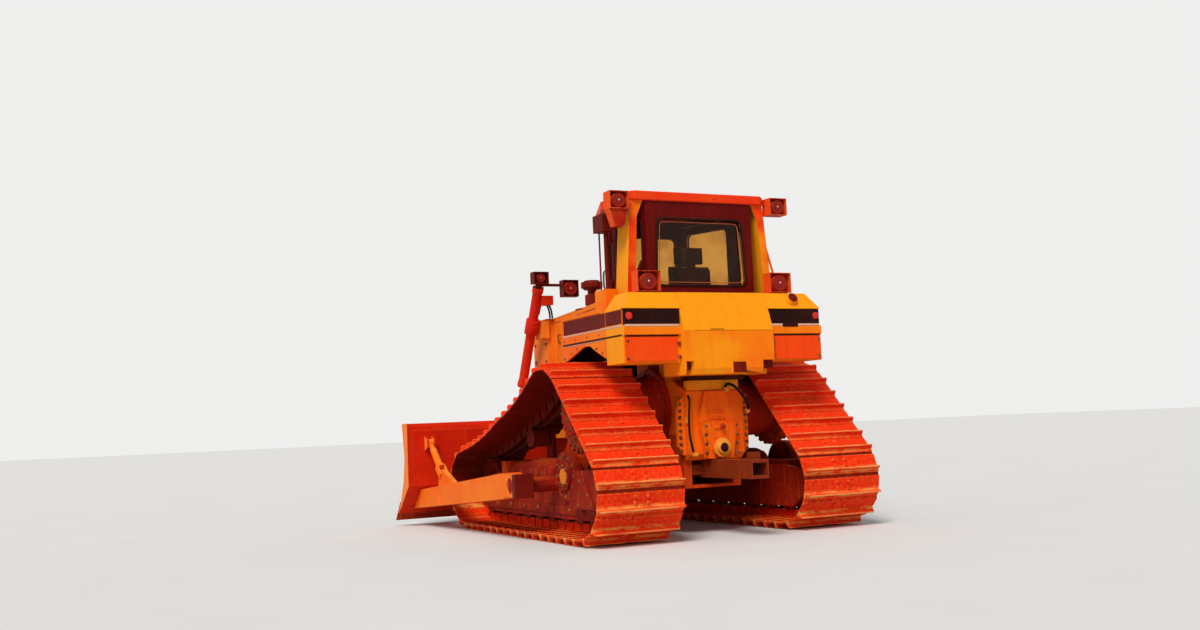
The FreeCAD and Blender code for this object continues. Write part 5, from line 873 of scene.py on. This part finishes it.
# Deep maroon for the catch, the filler cap and the lift lamps, also used for blocks of painted shade.
DEEP_MAROON_AND_SHADE = weathered("deep_maroon_and_shade", (0.13, 0.006, 0.004), (0.18, 0.01, 0.005), dust=(0.3, 0.05, 0.012),
    dust_amount=0.4, mud=0.2, wear=0.8)
BAND_LOW, BAND_TOP, STRIP_LOW = 2.094, 2.236, 2.068
TANK_BACK, PANEL_BACK = -0.2035, -0.19
TANK_SIDE, BAND_INNER = 1.128, 0.53
rounded("fuel_tank", 0.006, AMBER)
for side, hand in SIDES:
    blocks("tank_band_" + side, [((TANK_BACK, hand * BAND_INNER, 2.09), (-0.15, hand * TANK_SIDE, 2.238))],
        TANK_BLACK, "fuel_tank", 0.003)
    blocks("tank_strip_" + side, [((-0.2065, hand * BAND_INNER, STRIP_LOW),
        (PANEL_BACK, hand * TANK_SIDE, 2.09))], STRIP, "fuel_tank", 0.002)
    # Dark strips at the top of the lower panel under the ledge, and under the bright strip: painted shadow.
    blocks("tank_seams_" + side, [((-0.203, hand * 0.545, 1.972), (PANEL_BACK, hand * 1.125, 1.998)),
        ((-0.203, hand * 0.534, 2.058), (PANEL_BACK, hand * TANK_SIDE, 2.067))], DARK_PAINT_AND_SHADE, "fuel_tank",
        0.001)
    # Thin sheets over the lower side panels in the darker copy of the amber, as painted shade.
    blocks("tank_low_panel_" + side, [((-0.2028, hand * 0.566, 1.728),
        (PANEL_BACK, hand * TANK_SIDE, 1.966))], LOW_PANEL_SHADED, "fuel_tank", 0.003)
blocks("tank_middle_seam", [((-0.263, -0.505, 2.018), (-0.25, 0.4, 2.023)),
    ((-0.263, 0.06, 2.03), (-0.2535, 0.22, 2.036))], DARK_PAINT_AND_SHADE, "fuel_tank", 0.001)
# The catch under the tank is dark maroon; the two blocks in the tank's side notches are painted shade.
blocks("tank_catch", [((-0.29, -0.16, 1.6), (-0.262, -0.008, 1.706)),
    ((-0.205, 0.426, 1.64), (-0.18, 0.502, 1.717)), ((-0.205, -0.38, 1.64), (-0.18, -0.526, 1.72))],
    DEEP_MAROON_AND_SHADE, "fuel_tank", 0.003)
blocks("tank_light", [((-0.211, -0.67, 2.052), (PANEL_BACK, -0.86, 2.096))], DARK_PAINT_AND_SHADE, "fuel_tank", 0.004)
turned("tank_reflectors", [(0.0, 0.036), (0.006, 0.036), (0.01, 0.031), (0.011, 0.0)],
    [((-0.2033, hand * 1.083, 2.17), BACKWARD) for side, hand in SIDES],
    weathered("reflector_red", (0.74, 0.02, 0.012), (0.62, 0.016, 0.01), dust_amount=0.2, mud=0.0, wear=0.1,
    coat=0.25, bump=0.02, roughness=0.3), "fuel_tank")
rows = []
for hand in (1, -1):
    rows += line((TANK_BACK, hand * 0.545, 1.77), (TANK_BACK, hand * 0.545, 1.9), 2, BACKWARD, 0.014)
    rows += line((TANK_BACK, hand * 1.105, 1.76), (TANK_BACK, hand * 1.105, 1.93), 2, BACKWARD, 0.011)
bolts("tank_bolts", rows, "fuel_tank")
turned("filler_cap", [(0.0, 0.052), (0.006, 0.052), (0.008, 0.049), (0.0085, 0.0)],
    [((-0.1826, -0.83, 2.358), (-0.88, 0, 0.474))], DEEP_MAROON_AND_SHADE, "fuel_tank")

# Fenders: folded sheet over the tracks beside the cab, amber, with the tank's dark band carried on.
# The left one has a locker with a hinged lid and a latch.
SIDE_AMBER = weathered("side_amber", (0.92, 0.15, 0.004), (0.94, 0.26, 0.006), dust=(0.5, 0.03, 0.005),
    bare=(0.3, 0.04, 0.01), dust_amount=0.5, mud_top=2.0, mud=0.35, wear=0.5, streaks=0.25, bump=0.12,
    coat=0.04)
SIDE_FACE, SKIRT_FACE, BAND_FACE = 1.138, 1.1455, 1.1475
BAND_RED = weathered("band_maroon", (0.115, 0.008, 0.005), (0.165, 0.014, 0.007), dust=(0.3, 0.05, 0.012),
    dust_amount=0.4, mud=0.1, wear=0.4, streaks=0.1, bump=0.08)
for side, hand in SIDES:
    rounded("fender_" + side, 0.005, SIDE_AMBER)
    blocks("fender_band_" + side, [((0.312, hand * 1.125, BAND_LOW), (1.205, hand * 1.137, BAND_TOP))],
        BAND_RED, "fender_" + side, 0.002)
    blocks("side_band_" + side, [((-0.16, hand * SIDE_FACE, BAND_LOW), (0.176, hand * BAND_FACE, BAND_TOP)),
        ((0.184, hand * SIDE_FACE, BAND_LOW), (0.3, hand * BAND_FACE, BAND_TOP))], BAND_RED,
        "fender_" + side, 0.002)
    blocks("side_strip_" + side, [((-0.165, hand * SIDE_FACE, STRIP_LOW), (1.21, hand * 1.149, 2.088)),
        ((0.19, hand * SIDE_FACE, 1.966), (1.21, hand * 1.148, 1.976))], STRIP, "fender_" + side, 0.002)
    # A dark strip under the side's ledge: painted shadow.
    blocks("side_seams_" + side, [((-0.165, hand * SIDE_FACE, 1.978), (1.21, hand * BAND_FACE, 1.996))],
        DARK_PAINT_AND_SHADE, "fender_" + side, 0.001)
    # Black sheets at the fender's front and along its inner edge stand in for the shade inside the fender:
    # painted shade.
    blocks("mud_flap_" + side, [((1.236, hand * 0.825, 1.66), (1.246, hand * 1.118, 2.28)),
        ((0.19, hand * 0.824, 1.8), (1.236, hand * 0.834, 2.26))], BLACK_RUBBER_AND_SHADE, "fender_" + side, 0.002)
    rows = [bolt_at((x, hand * SKIRT_FACE, z), (0, hand, 0), 0.01)
        for x, z in ((0.27, 1.85), (0.4, 1.9), (0.86, 1.935), (1.0, 1.89), (1.18, 1.845))]
    rows += line((0.34, hand * SKIRT_FACE, 2.03), (1.18, hand * SKIRT_FACE, 2.03), 4, (0, hand, 0), 0.008)
    bolts("fender_bolts_" + side, rows, "fender_" + side)
tubes("locker_latch", [([(0.7, 1.146, 2.33), (0.7, 1.17, 2.33), (0.8, 1.17, 2.33), (0.8, 1.146, 2.33)],
    0.008)], BOLT, "fender_left")

# Cab: a welded steel shell with rounded windows in rubber gaskets, a thick sheet roof and two doors
# hung at their rear edges. Dark maroon walls and an orange-red roof, dull with dust.
CAB_PAINT = weathered("cab_paint", (0.82, 0.034, 0.005), (0.82, 0.07, 0.006), dust=(0.55, 0.07, 0.012),
    bare=(0.3, 0.03, 0.008), dust_amount=0.4, mud_top=0.8, mud=0.1, wear=0.5, streaks=0.18, bump=0.1,
    coat=0.05)
CAB_DARK = weathered("cab_maroon", (0.105, 0.002, 0.0015), (0.14, 0.004, 0.0025), dust=(0.3, 0.045, 0.01),
    bare=(0.24, 0.03, 0.01), dust_amount=0.35, mud=0.1, wear=0.5, streaks=0.12, bump=0.1, coat=0.04)


def window_glass():
    """Bronze tinted window glass with a little dust on it."""
    material = bpy.data.materials.new("window_glass")
    tree, shader = nodes_of(material)
    place = add(tree, "ShaderNodeTexCoord")
    film = noise(tree, place.outputs["Object"], 3.0, 6.0)
    tint = mixed(tree, ramp(tree, film, 0.42, 0.7), (0.8, 0.54, 0.22, 1), (0.6, 0.36, 0.14, 1))
    tree.links.new(tint, shader.inputs["Base Color"])
    smooth = ramp(tree, film, 0.35, 0.75, 0.02, 0.1)
    tree.links.new(smooth, shader.inputs["Roughness"])
    shader.inputs["Transmission Weight"].default_value = 1.0
    shader.inputs["IOR"].default_value = 1.22
    return material


GLASS = window_glass()
GASKET = weathered("gasket_rubber", (0.02, 0.006, 0.005), (0.032, 0.01, 0.008), dust=(0.2, 0.05, 0.02),
    dust_amount=0.3, mud=0.0, wear=0.1, bump=0.1)
TRIM = weathered("window_trim", (0.62, 0.15, 0.06), (0.5, 0.1, 0.04), dust_amount=0.2, mud=0.0, wear=0.3,
    metallic=0.3)


def bead(shape, corners, rounding, thick):
    """Adds a rubber bead round a flat opening with rounded corners to a shape."""
    corners = [placed(corner) for corner in corners]
    flat = (corners[1] - corners[0]).cross(corners[2] - corners[1]).normalized()
    path = []
    for k, corner in enumerate(corners):
        back = (corners[k - 1] - corner).normalized()
        on = (corners[(k + 1) % len(corners)] - corner).normalized()
        half = back.angle(on) / 2
        middle = corner + (back + on).normalized() * rounding / math.sin(half)
        start = corner + back * rounding / math.tan(half) - middle
        stop = corner + on * rounding / math.tan(half) - middle
        path += [middle + start.slerp(stop, step / 6) * rounding for step in range(7)]
    rings = []
    for k, point in enumerate(path):
        way = (path[(k + 1) % len(path)] - path[k - 1]).normalized()
        inner = way.cross(flat)
        rings.append([shape.verts.new(point + thick * (math.cos(math.pi * n / 4) * flat
            + math.sin(math.pi * n / 4) * inner)) for n in range(8)])
    for k, low in enumerate(rings):
        high = rings[(k + 1) % len(rings)]
        for n in range(8):
            shape.faces.new((low[n], low[(n + 1) % 8], high[(n + 1) % 8], high[n]))


def wall_point(start, end, along, out, z):
    """A point beside an upright wall between two corners seen from above."""
    way = (Vector(end) - Vector(start)).normalized()
    return spot(start[0] + way.x * along - way.y * out, start[1] + way.y * along + way.x * out, z)


WINDOW_LOW, WINDOW_HIGH, WINDOW_ROUND = 2.52, 3.21, 0.07
DOOR_WINDOW_LOW, DOOR_WINDOW_HIGH = 2.474, 3.241
CORNER_X, CORNER_Y = 0.72, 0.76
rounded("cab_shell", 0.006, CAB_DARK)
rounded("cab_roof", 0.014, CAB_PAINT, segments=3)
cover("cab_glass", GLASS)
shape = bmesh.new()
for x, low_half, high_half in ((0.213, 0.53, 0.5), (1.452, 0.4, 0.4)):
    bead(shape, [(x, low_half, WINDOW_LOW), (x, -low_half, WINDOW_LOW), (x, -high_half, WINDOW_HIGH),
        (x, high_half, WINDOW_HIGH)], WINDOW_ROUND, 0.013)
for side, hand in SIDES:
    rear, corner = (0.215, hand * 0.625), (CORNER_X, hand * CORNER_Y)
    length = math.dist(rear, corner)
    bead(shape, [wall_point(rear, corner, along, hand * 0.002, z)
        for along, z in ((0.065, WINDOW_LOW), (length - 0.065, WINDOW_LOW), (length - 0.065, WINDOW_HIGH),
        (0.065, WINDOW_HIGH))], WINDOW_ROUND, 0.012)
bmesh.ops.recalc_face_normals(shape, faces=shape.faces)
shown("cab_gaskets", mesh_of("cab_gaskets", shape), GASKET, "cab_shell")
shape = bmesh.new()
bead(shape, [(0.226, 0.49, WINDOW_LOW + 0.035), (0.226, -0.49, WINDOW_LOW + 0.035),
    (0.226, -0.462, WINDOW_HIGH - 0.035), (0.226, 0.462, WINDOW_HIGH - 0.035)], 0.05, 0.004)
bmesh.ops.recalc_face_normals(shape, faces=shape.faces)
shown("rear_window_trim", mesh_of("rear_window_trim", shape), TRIM, "cab_shell")
blocks("roof_details", [((0.182, -0.2, 3.42), (0.2, -0.16, 3.46)),
    ((0.3, -0.62, 3.476), (1.05, 0.62, 3.4795))], CAB_PAINT, "cab_roof", 0.003)
for side, hand in SIDES:
    cover("cab_door_" + side, CAB_DARK)
    cover("door_glass_" + side, GLASS)
    corner, nose = (CORNER_X, hand * CORNER_Y), (1.45, hand * 0.47)
    shape = bmesh.new()
    bead(shape, [wall_point(corner, nose, along, hand * 0.004, z)
        for along, z in ((0.104, DOOR_WINDOW_LOW), (0.67, DOOR_WINDOW_LOW), (0.67, DOOR_WINDOW_HIGH),
        (0.104, DOOR_WINDOW_HIGH))], WINDOW_ROUND, 0.011)
    bmesh.ops.recalc_face_normals(shape, faces=shape.faces)
    shown("door_gasket_" + side, mesh_of("door_gasket_" + side, shape), GASKET, "cab_door_" + side)
    tubes("door_handle_" + side, [([wall_point(corner, nose, 0.7, hand * out, z)
        for out, z in ((0.0, 2.62), (0.045, 2.63), (0.045, 2.8), (0.0, 2.81))], 0.01)], BOLT,
        "cab_door_" + side)

# Operator's seat: black vinyl cushions with sewn channels on a sprung base, with side consoles, two
# levers with round knobs, and a dash with blank dials under the front window.
VINYL = weathered("seat_vinyl", (0.03, 0.012, 0.01), (0.045, 0.018, 0.014), dust=(0.62, 0.36, 0.12),
    bare=(0.05, 0.03, 0.02), dust_amount=0.9, mud=0.0, wear=0.2, bump=0.15)


def cushion(name, low, high, thin, channels, stands_for=()):
    """A crowned pad: thin is its thin axis, channels the sewn lines across its front or top."""
    low, high = placed(low), placed(high)
    middle, half = (low + high) / 2, (high - low) / 2
    shape = bmesh.new()
    bmesh.ops.create_cube(shape, size=2.0)
    bmesh.ops.subdivide_edges(shape, edges=shape.edges, cuts=19, use_grid_fill=True)
    wide = [axis for axis in range(3) if axis != thin]
    across = wide[0] if wide[0] == 1 else wide[1]
    long_way = next(axis for axis in wide if axis != across)
    for vertex in shape.verts:
        at = vertex.co.copy()
        u, v = at[across], at[long_way]
        square = max(1 - abs(u) ** 5, 0) ** 0.5 * max(1 - abs(v) ** 5, 0) ** 0.5
        dip = sum(math.exp(-((v - line_at) / 0.035) ** 2) for line_at in channels)
        crown = 0.5 + 0.5 * square - (0.16 * dip if at[thin] > 0.5 else 0.0)
        shrink = 1 - 0.035 * (1 - square)
        vertex.co[thin] = middle[thin] + at[thin] * half[thin] * crown
        vertex.co[across] = middle[across] + u * half[across] * shrink * (1 - 0.03 * abs(at[thin]) ** 4)
        vertex.co[long_way] = middle[long_way] + v * half[long_way] * shrink * (1
            - 0.03 * abs(at[thin]) ** 4)
    bmesh.ops.smooth_vert(shape, verts=shape.verts, factor=0.5, use_axis_x=True, use_axis_y=True,
        use_axis_z=True)
    bmesh.ops.recalc_face_normals(shape, faces=shape.faces)
    piece = shown(name, mesh_of(name, shape), VINYL, "seat", stands_for, crease=80)


cushion("seat_cushion", (0.535, -0.255, 2.16), (0.995, 0.255, 2.262), 2, (-0.5, 0.0, 0.5), ("seat",))
cushion("seat_back", (0.425, -0.245, 2.235), (0.538, 0.245, 2.76), 0, (-0.55, -0.1, 0.35))
cushion("seat_headrest", (0.43, -0.17, 2.775), (0.53, 0.17, 2.955), 0, ())
blocks("seat_base", [((0.6, -0.2, 1.893), (0.92, 0.2, 1.94)), ((0.64, -0.14, 1.94), (0.86, 0.14, 2.1)),
    ((0.56, -0.23, 2.1), (0.96, 0.23, 2.158)), ((0.405, -0.22, 2.16), (0.425, 0.22, 2.72)),
    ((0.41, -0.05, 2.7), (0.44, 0.05, 2.86))], DARK_PAINT_AND_SHADE, "seat", 0.01)
rounded("console", 0.012, DARK_PAINT_AND_SHADE)
lever_rows, knob_places = [], []
for hand in (1, -1):
    top = spot(0.96, hand * 0.345, 2.53)
    lever_rows.append(([spot(0.88, hand * 0.36, 2.32), spot(0.9, hand * 0.355, 2.42), top], 0.009))
    knob_places.append((top, (0.1, 0, 1)))
tubes("console_levers", lever_rows, BOLT, "console")
KNOB = [(-0.02, 0.012), (0.0, 0.022), (0.02, 0.028), (0.045, 0.026), (0.06, 0.015), (0.064, 0.0)]
turned("lever_knobs", KNOB, knob_places, BLACK_RUBBER_AND_SHADE, "console")
turned("dash_dials", [(0.0, 0.05), (0.008, 0.05), (0.012, 0.046), (0.012, 0.041), (0.006, 0.04),
    (0.006, 0.0)], [((1.2395, y, 2.42), BACKWARD) for y in (-0.18, -0.06, 0.06, 0.18)], BOLT, "console")

# Rollover posts: square columns of folded steel with plates welded to their feet, bolted down to the fenders
# behind the cab. Orange-red paint, with painted light: faces turned up or to the machine's left are painted
# amber.
POST_PAINT = weathered("post_paint", (0.84, 0.034, 0.004), (0.95, 0.35, 0.008), dust=(0.7, 0.07, 0.01),
    bare=(0.35, 0.04, 0.01), dust_amount=0.4, mud=0.1, wear=0.5, streaks=0.15, bump=0.1, coat=0.05,
    lit_and_faded=1.0)
rounded("rollover_posts", 0.006, POST_PAINT)
for side, hand in SIDES:
    rows = [bolt_at((x, hand * 0.905, 2.2915), (0, 0, 1), 0.018) for x in (0.245, 0.475)]
    bolts("post_bolts_" + side, rows, "rollover_posts")

# Hood and engine: the engine is a plain iron block between the frame's plates. Sheet doors with pressed
# louvres close its sides; the hood slopes forwards to the radiator's guard. Amber paint, dust on top.
HOOD_PAINT = weathered("hood_paint", (0.84, 0.17, 0.01), (0.9, 0.25, 0.014), dust=(0.85, 0.42, 0.16),
    bare=(0.35, 0.05, 0.012), dust_amount=0.85, mud=0.1, wear=0.5, streaks=0.25, bump=0.1, coat=0.05)
ENGINE = weathered("engine_paint", (0.28, 0.05, 0.01), (0.2, 0.03, 0.008), dust=(0.1, 0.02, 0.008),
    dust_amount=0.5, bump=0.6)
rounded("engine_block", 0.02, ENGINE, segments=3)
blocks("engine_ribs", [((1.75 + 0.16 * n, hand * 0.299, 1.3), (1.79 + 0.16 * n, hand * 0.318, 2.0))
    for n in range(7) for hand in (1, -1)], ENGINE, "engine_block", 0.006)
rounded("hood", 0.01, HOOD_PAINT, segments=3)


def louvre_mesh():
    """A pressed louvre: a rounded hood over a slot, 1 unit long, with its slot below."""
    shape = bmesh.new()
    spans = [(-0.5, 0.0), (-0.46, 0.6), (-0.38, 1.0), (0.38, 1.0), (0.46, 0.6), (0.5, 0.0)]
    rings = [[shape.verts.new((x, y, z * rise)) for y, z in ((-0.5, -0.1), (-0.5, 0.9), (-0.2, 1.0),
        (0.2, 0.55), (0.5, -0.1))] for x, rise in spans]
    for low, high in zip(rings, rings[1:]):
        for n in range(5):
            shape.faces.new((low[n], low[(n + 1) % 5], high[(n + 1) % 5], high[n]))
    shape.faces.new(rings[0])
    shape.faces.new(rings[-1])
    bmesh.ops.recalc_face_normals(shape, faces=shape.faces)
    return mesh_of("louvre", shape)


LOUVRE = louvre_mesh()
for side, hand in SIDES:
    cover("engine_door_" + side, HOOD_PAINT)
    turn = Euler((math.pi / 2, 0, math.pi)) if hand > 0 else Euler((math.pi / 2, 0, 0))
    rows = [(spot(x, hand * 0.4695, 1.78 + 0.04 * n), turn, (0.26, 0.026, 0.014)) for x in (1.86, 2.18, 2.5)
        for n in range(12)]
    stamped("door_louvres_" + side, LOUVRE, rows, HOOD_PAINT, "engine_door_" + side)
    tubes("door_pulls_" + side, [([(2.78, hand * 0.468, z), (2.78, hand * 0.497, z + 0.01),
        (2.78, hand * 0.497, z + 0.09), (2.78, hand * 0.468, z + 0.1)], 0.007) for z in (1.8, 2.14)], BOLT,
        "engine_door_" + side)
cover("firewall", DARK_PAINT_AND_SHADE)
rounded("radiator_guard", 0.01, HOOD_PAINT)
GUARD_FACE = 0.5415
rows = []
for hand in (1, -1):
    rows += line((3.06, hand * GUARD_FACE, 1.1), (3.06, hand * GUARD_FACE, 2.36), 7, (0, hand, 0), 0.014)
    rows += line((3.38, hand * GUARD_FACE, 1.1), (3.38, hand * GUARD_FACE, 2.36), 7, (0, hand, 0), 0.014)
bolts("guard_bolts", rows, "radiator_guard")
FIN = weathered("radiator_fins", (0.05, 0.01, 0.006), (0.09, 0.02, 0.01), dust=(0.3, 0.08, 0.03),
    dust_amount=0.6, mud=0.2, bump=0.3)
blocks("radiator_core", [((3.349, y / 100, 1.3), (3.375, y / 100 + 0.003, 2.36)) for y in range(-46, 47)]
    + [((3.349, -0.47, z), (3.38, 0.47, z + 0.012)) for z in (1.45, 1.6, 1.75, 1.9, 2.05, 2.2)], FIN,
    "radiator_guard", 0.0)
cover("grille_door", DARK_PAINT_AND_SHADE)
blocks("grille_slats", [((3.414, -0.425, 1.37 + 0.036 * n), (3.424, 0.425, 1.376 + 0.036 * n))
    for n in range(26)], DARK_PAINT_AND_SHADE, "grille_door", 0.002)

# Exhaust and pre-cleaner: a heat-stained steel pipe with a slanted end, and a spun sheet cap on the air
# intake's short stem.
SOOT = weathered("exhaust_steel", (0.085, 0.01, 0.006), (0.2, 0.03, 0.01), dust=(0.3, 0.05, 0.012),
    dust_amount=0.3, mud=0.0, wear=0.6, roughness=0.7)
rounded("exhaust_stack", 0.002, SOOT)
turned("exhaust_clamp", [(0.0, 0.058), (0.0, 0.064), (0.028, 0.064), (0.028, 0.058)],
    [((1.98, -0.24, 2.56), (0, 0, 1))], BOLT, "exhaust_stack")
CLEANER_PAINT = weathered("cleaner_paint", (0.15, 0.008, 0.005), (0.2, 0.014, 0.007),
    dust=(0.6, 0.16, 0.04), dust_amount=0.6, mud=0.0)
rounded("air_precleaner", 0.003, CLEANER_PAINT)
turned("cleaner_stem", [(0.0, 0.08), (0.0, 0.084), (0.1, 0.084), (0.12, 0.079), (0.12, 0.07)],
    [((2.15, 0.33, 2.526), (0, 0, 1))], CLEANER_PAINT, "air_precleaner")

# Lift: cylinders hung in yokes at the front of the hood, dark red-orange barrels and chrome rods. Their
# lamps stand on a bar at the barrels' heads. Rubber hoses bend between the hood and the barrels.
BARREL = weathered("barrel_paint", (0.64, 0.018, 0.005), (0.8, 0.044, 0.006), dust=(0.5, 0.09, 0.018),
    bare=(0.3, 0.04, 0.01), dust_amount=0.5, mud=0.2, wear=0.6, streaks=0.2, bump=0.15, coat=0.05)
CHROME = weathered("rod_chrome", (0.6, 0.56, 0.54), (0.52, 0.47, 0.44), dust=(0.3, 0.12, 0.05),
    dust_amount=0.1, mud=0.0, wear=0.0, streaks=0.05, bump=0.02, metallic=1.0, roughness=0.16)
for side, hand in SIDES:
    rounded("lift_bracket_" + side, 0.004, HOOD_PAINT)
    rounded("lift_barrel_" + side, 0.003, BARREL)
    cover("lift_rod_" + side, CHROME)
    cover("lift_lamp_" + side, DEEP_MAROON_AND_SHADE)
    hoses = tubes("lift_hoses_" + side, [([(2.93, hand * (0.5 + off), 2.45),
        (2.9, hand * (0.53 + off), 2.56), (2.92, hand * (0.58 + off), 2.66),
        (2.98, hand * (0.62 + off), 2.62), (3.02, hand * (0.64 + off), 2.5)], 0.011)
        for off in (0.0, 0.03)], BLACK_RUBBER_AND_SHADE, "lift_barrel_" + side)
    hoses.parent = None
    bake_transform(hoses, "machine", "barrel_" + side, start=spot(2.91, hand * 0.55, 2.62),
        end=spot(3.02, hand * 0.65, 2.62))

# Blade: a curved face plate on a boxed back, welded from heavy plate, with a bolted cutting edge. Its
# front is scoured by earth; its back, the arms and the braces are amber under caked red mud.
BLADE_BACK = weathered("blade_paint", (0.66, 0.02, 0.003), (0.5, 0.012, 0.003), dust=(0.62, 0.05, 0.007),
    bare=(0.5, 0.14, 0.03), dust_amount=0.8, mud_top=1.3, mud=0.7, wear=0.9, streaks=0.4, bump=0.6,
    scour=1.0)
ARM_PAINT = weathered("arm_paint", (0.92, 0.175, 0.008), (0.86, 0.11, 0.006), dust=(0.94, 0.33, 0.05),
    bare=(0.5, 0.12, 0.03), dust_amount=0.9, mud_top=0.8, mud=0.6, wear=0.9, streaks=0.4, bump=0.5)
tree = BLADE_BACK.node_tree
normal = add(tree, "ShaderNodeNewGeometry").outputs["Normal"]
sideways = add(tree, "ShaderNodeSeparateXYZ", {0: normal}).outputs["Y"]
weather = next(node for node in tree.nodes if node.type == "GROUP")
shader = next(node for node in tree.nodes if node.type == "BSDF_PRINCIPLED")
# Painted light: faces turned to the machine's left are painted a lighter orange.
ends = mixed(tree, ramp(tree, sideways, 0.5, 0.8), weather.outputs["Color"], (0.9, 0.23, 0.04, 1))
tree.links.new(ends, shader.inputs["Base Color"])
rounded("blade", 0.006, BLADE_BACK)
rounded("cutting_edge", 0.004, RUSTY_IRON)
for side, hand in SIDES:
    rounded("push_arm_" + side, 0.006, ARM_PAINT)
    rounded("blade_brace_" + side, 0.004, ARM_PAINT)
    # A dark maroon box over each arm's rear end: painted shade.
    blocks("arm_end_cap_" + side, [((0.942, hand * 1.652, 0.445), (1.026, hand * 1.8585, 0.685))],
        DEEP_MAROON_AND_SHADE, "push_arm_" + side, 0.006)

# Lamps and mirror: square sheet housings with round lenses set in them, on the roof, on the tank and on
# the lift cylinders' heads.
# Dark red housings whose faces turned up or to the machine's left are painted amber: painted light.
LAMP_BOX = weathered("lamp_box", (0.34, 0.01, 0.004), (0.86, 0.085, 0.008), dust=(0.5, 0.08, 0.015),
    bare=(0.7, 0.18, 0.06), dust_amount=0.4, mud=0.0, wear=1.0, streaks=0.1, bump=0.1, lit_and_faded=1.0)
LENS = weathered("lamp_lens", (0.2, 0.005, 0.004), (0.32, 0.01, 0.006), dust=(0.4, 0.07, 0.02),
    dust_amount=0.2, mud=0.0, wear=0.0, bump=0.05, coat=0.3, roughness=0.16)
# A small pale dome standing out of each lens's middle: a painted glint.
LENS_GLINT = weathered("lamp_bulb", (0.8, 0.5, 0.34), (0.7, 0.42, 0.28), dust_amount=0.1, mud=0.0, wear=0.0,
    roughness=0.3)
RIM = weathered("lamp_rim", (0.34, 0.02, 0.01), (0.26, 0.014, 0.008), dust_amount=0.1, mud=0.0, wear=0.0,
    metallic=0.7, roughness=0.4)
cover("roof_lamps", LAMP_BOX)
cover("rear_lamps", LAMP_BOX)
cover("mirror_left", BAND_RED)
LAMP_SETS = {"roof_lamps": [(0.15, hand * 0.945, 3.37, 0.074) for hand in (1, -1)],
    "rear_lamps": [(-0.07, hand * 0.77, 2.528, 0.0865) for hand in (1, -1)]}
for side, hand in SIDES:
    LAMP_SETS["lift_lamp_" + side] = [(2.7, hand * 0.72, 2.913, 0.054), (2.7, hand * 0.34, 2.791, 0.084)]
# Each lamp gets a lens, a rim and a painted glint at the lens's middle.
for node, places in LAMP_SETS.items():
    for label, finish, profile in (("lens", LENS, [(0.0, 0.88), (0.04, 0.88), (0.1, 0.7), (0.14, 0.4),
            (0.15, 0.0)]), ("rim", RIM, [(0.0, 0.88), (0.0, 0.99), (0.1, 0.99), (0.13, 0.94), (0.1, 0.88)]),
            ("bulb", LENS_GLINT, [(0.14, 0.12), (0.19, 0.1), (0.21, 0.0)])):
        shape = bmesh.new()
        for x, y, z, radius in places:
            lathe(shape, [(along * radius, out * radius) for along, out in profile], spot(x + 0.022, y, z),
                BACKWARD, 24)
        bmesh.ops.recalc_face_normals(shape, faces=shape.faces)
        shown(f"{node}_{label}", mesh_of(f"{node}_{label}", shape), finish, node)
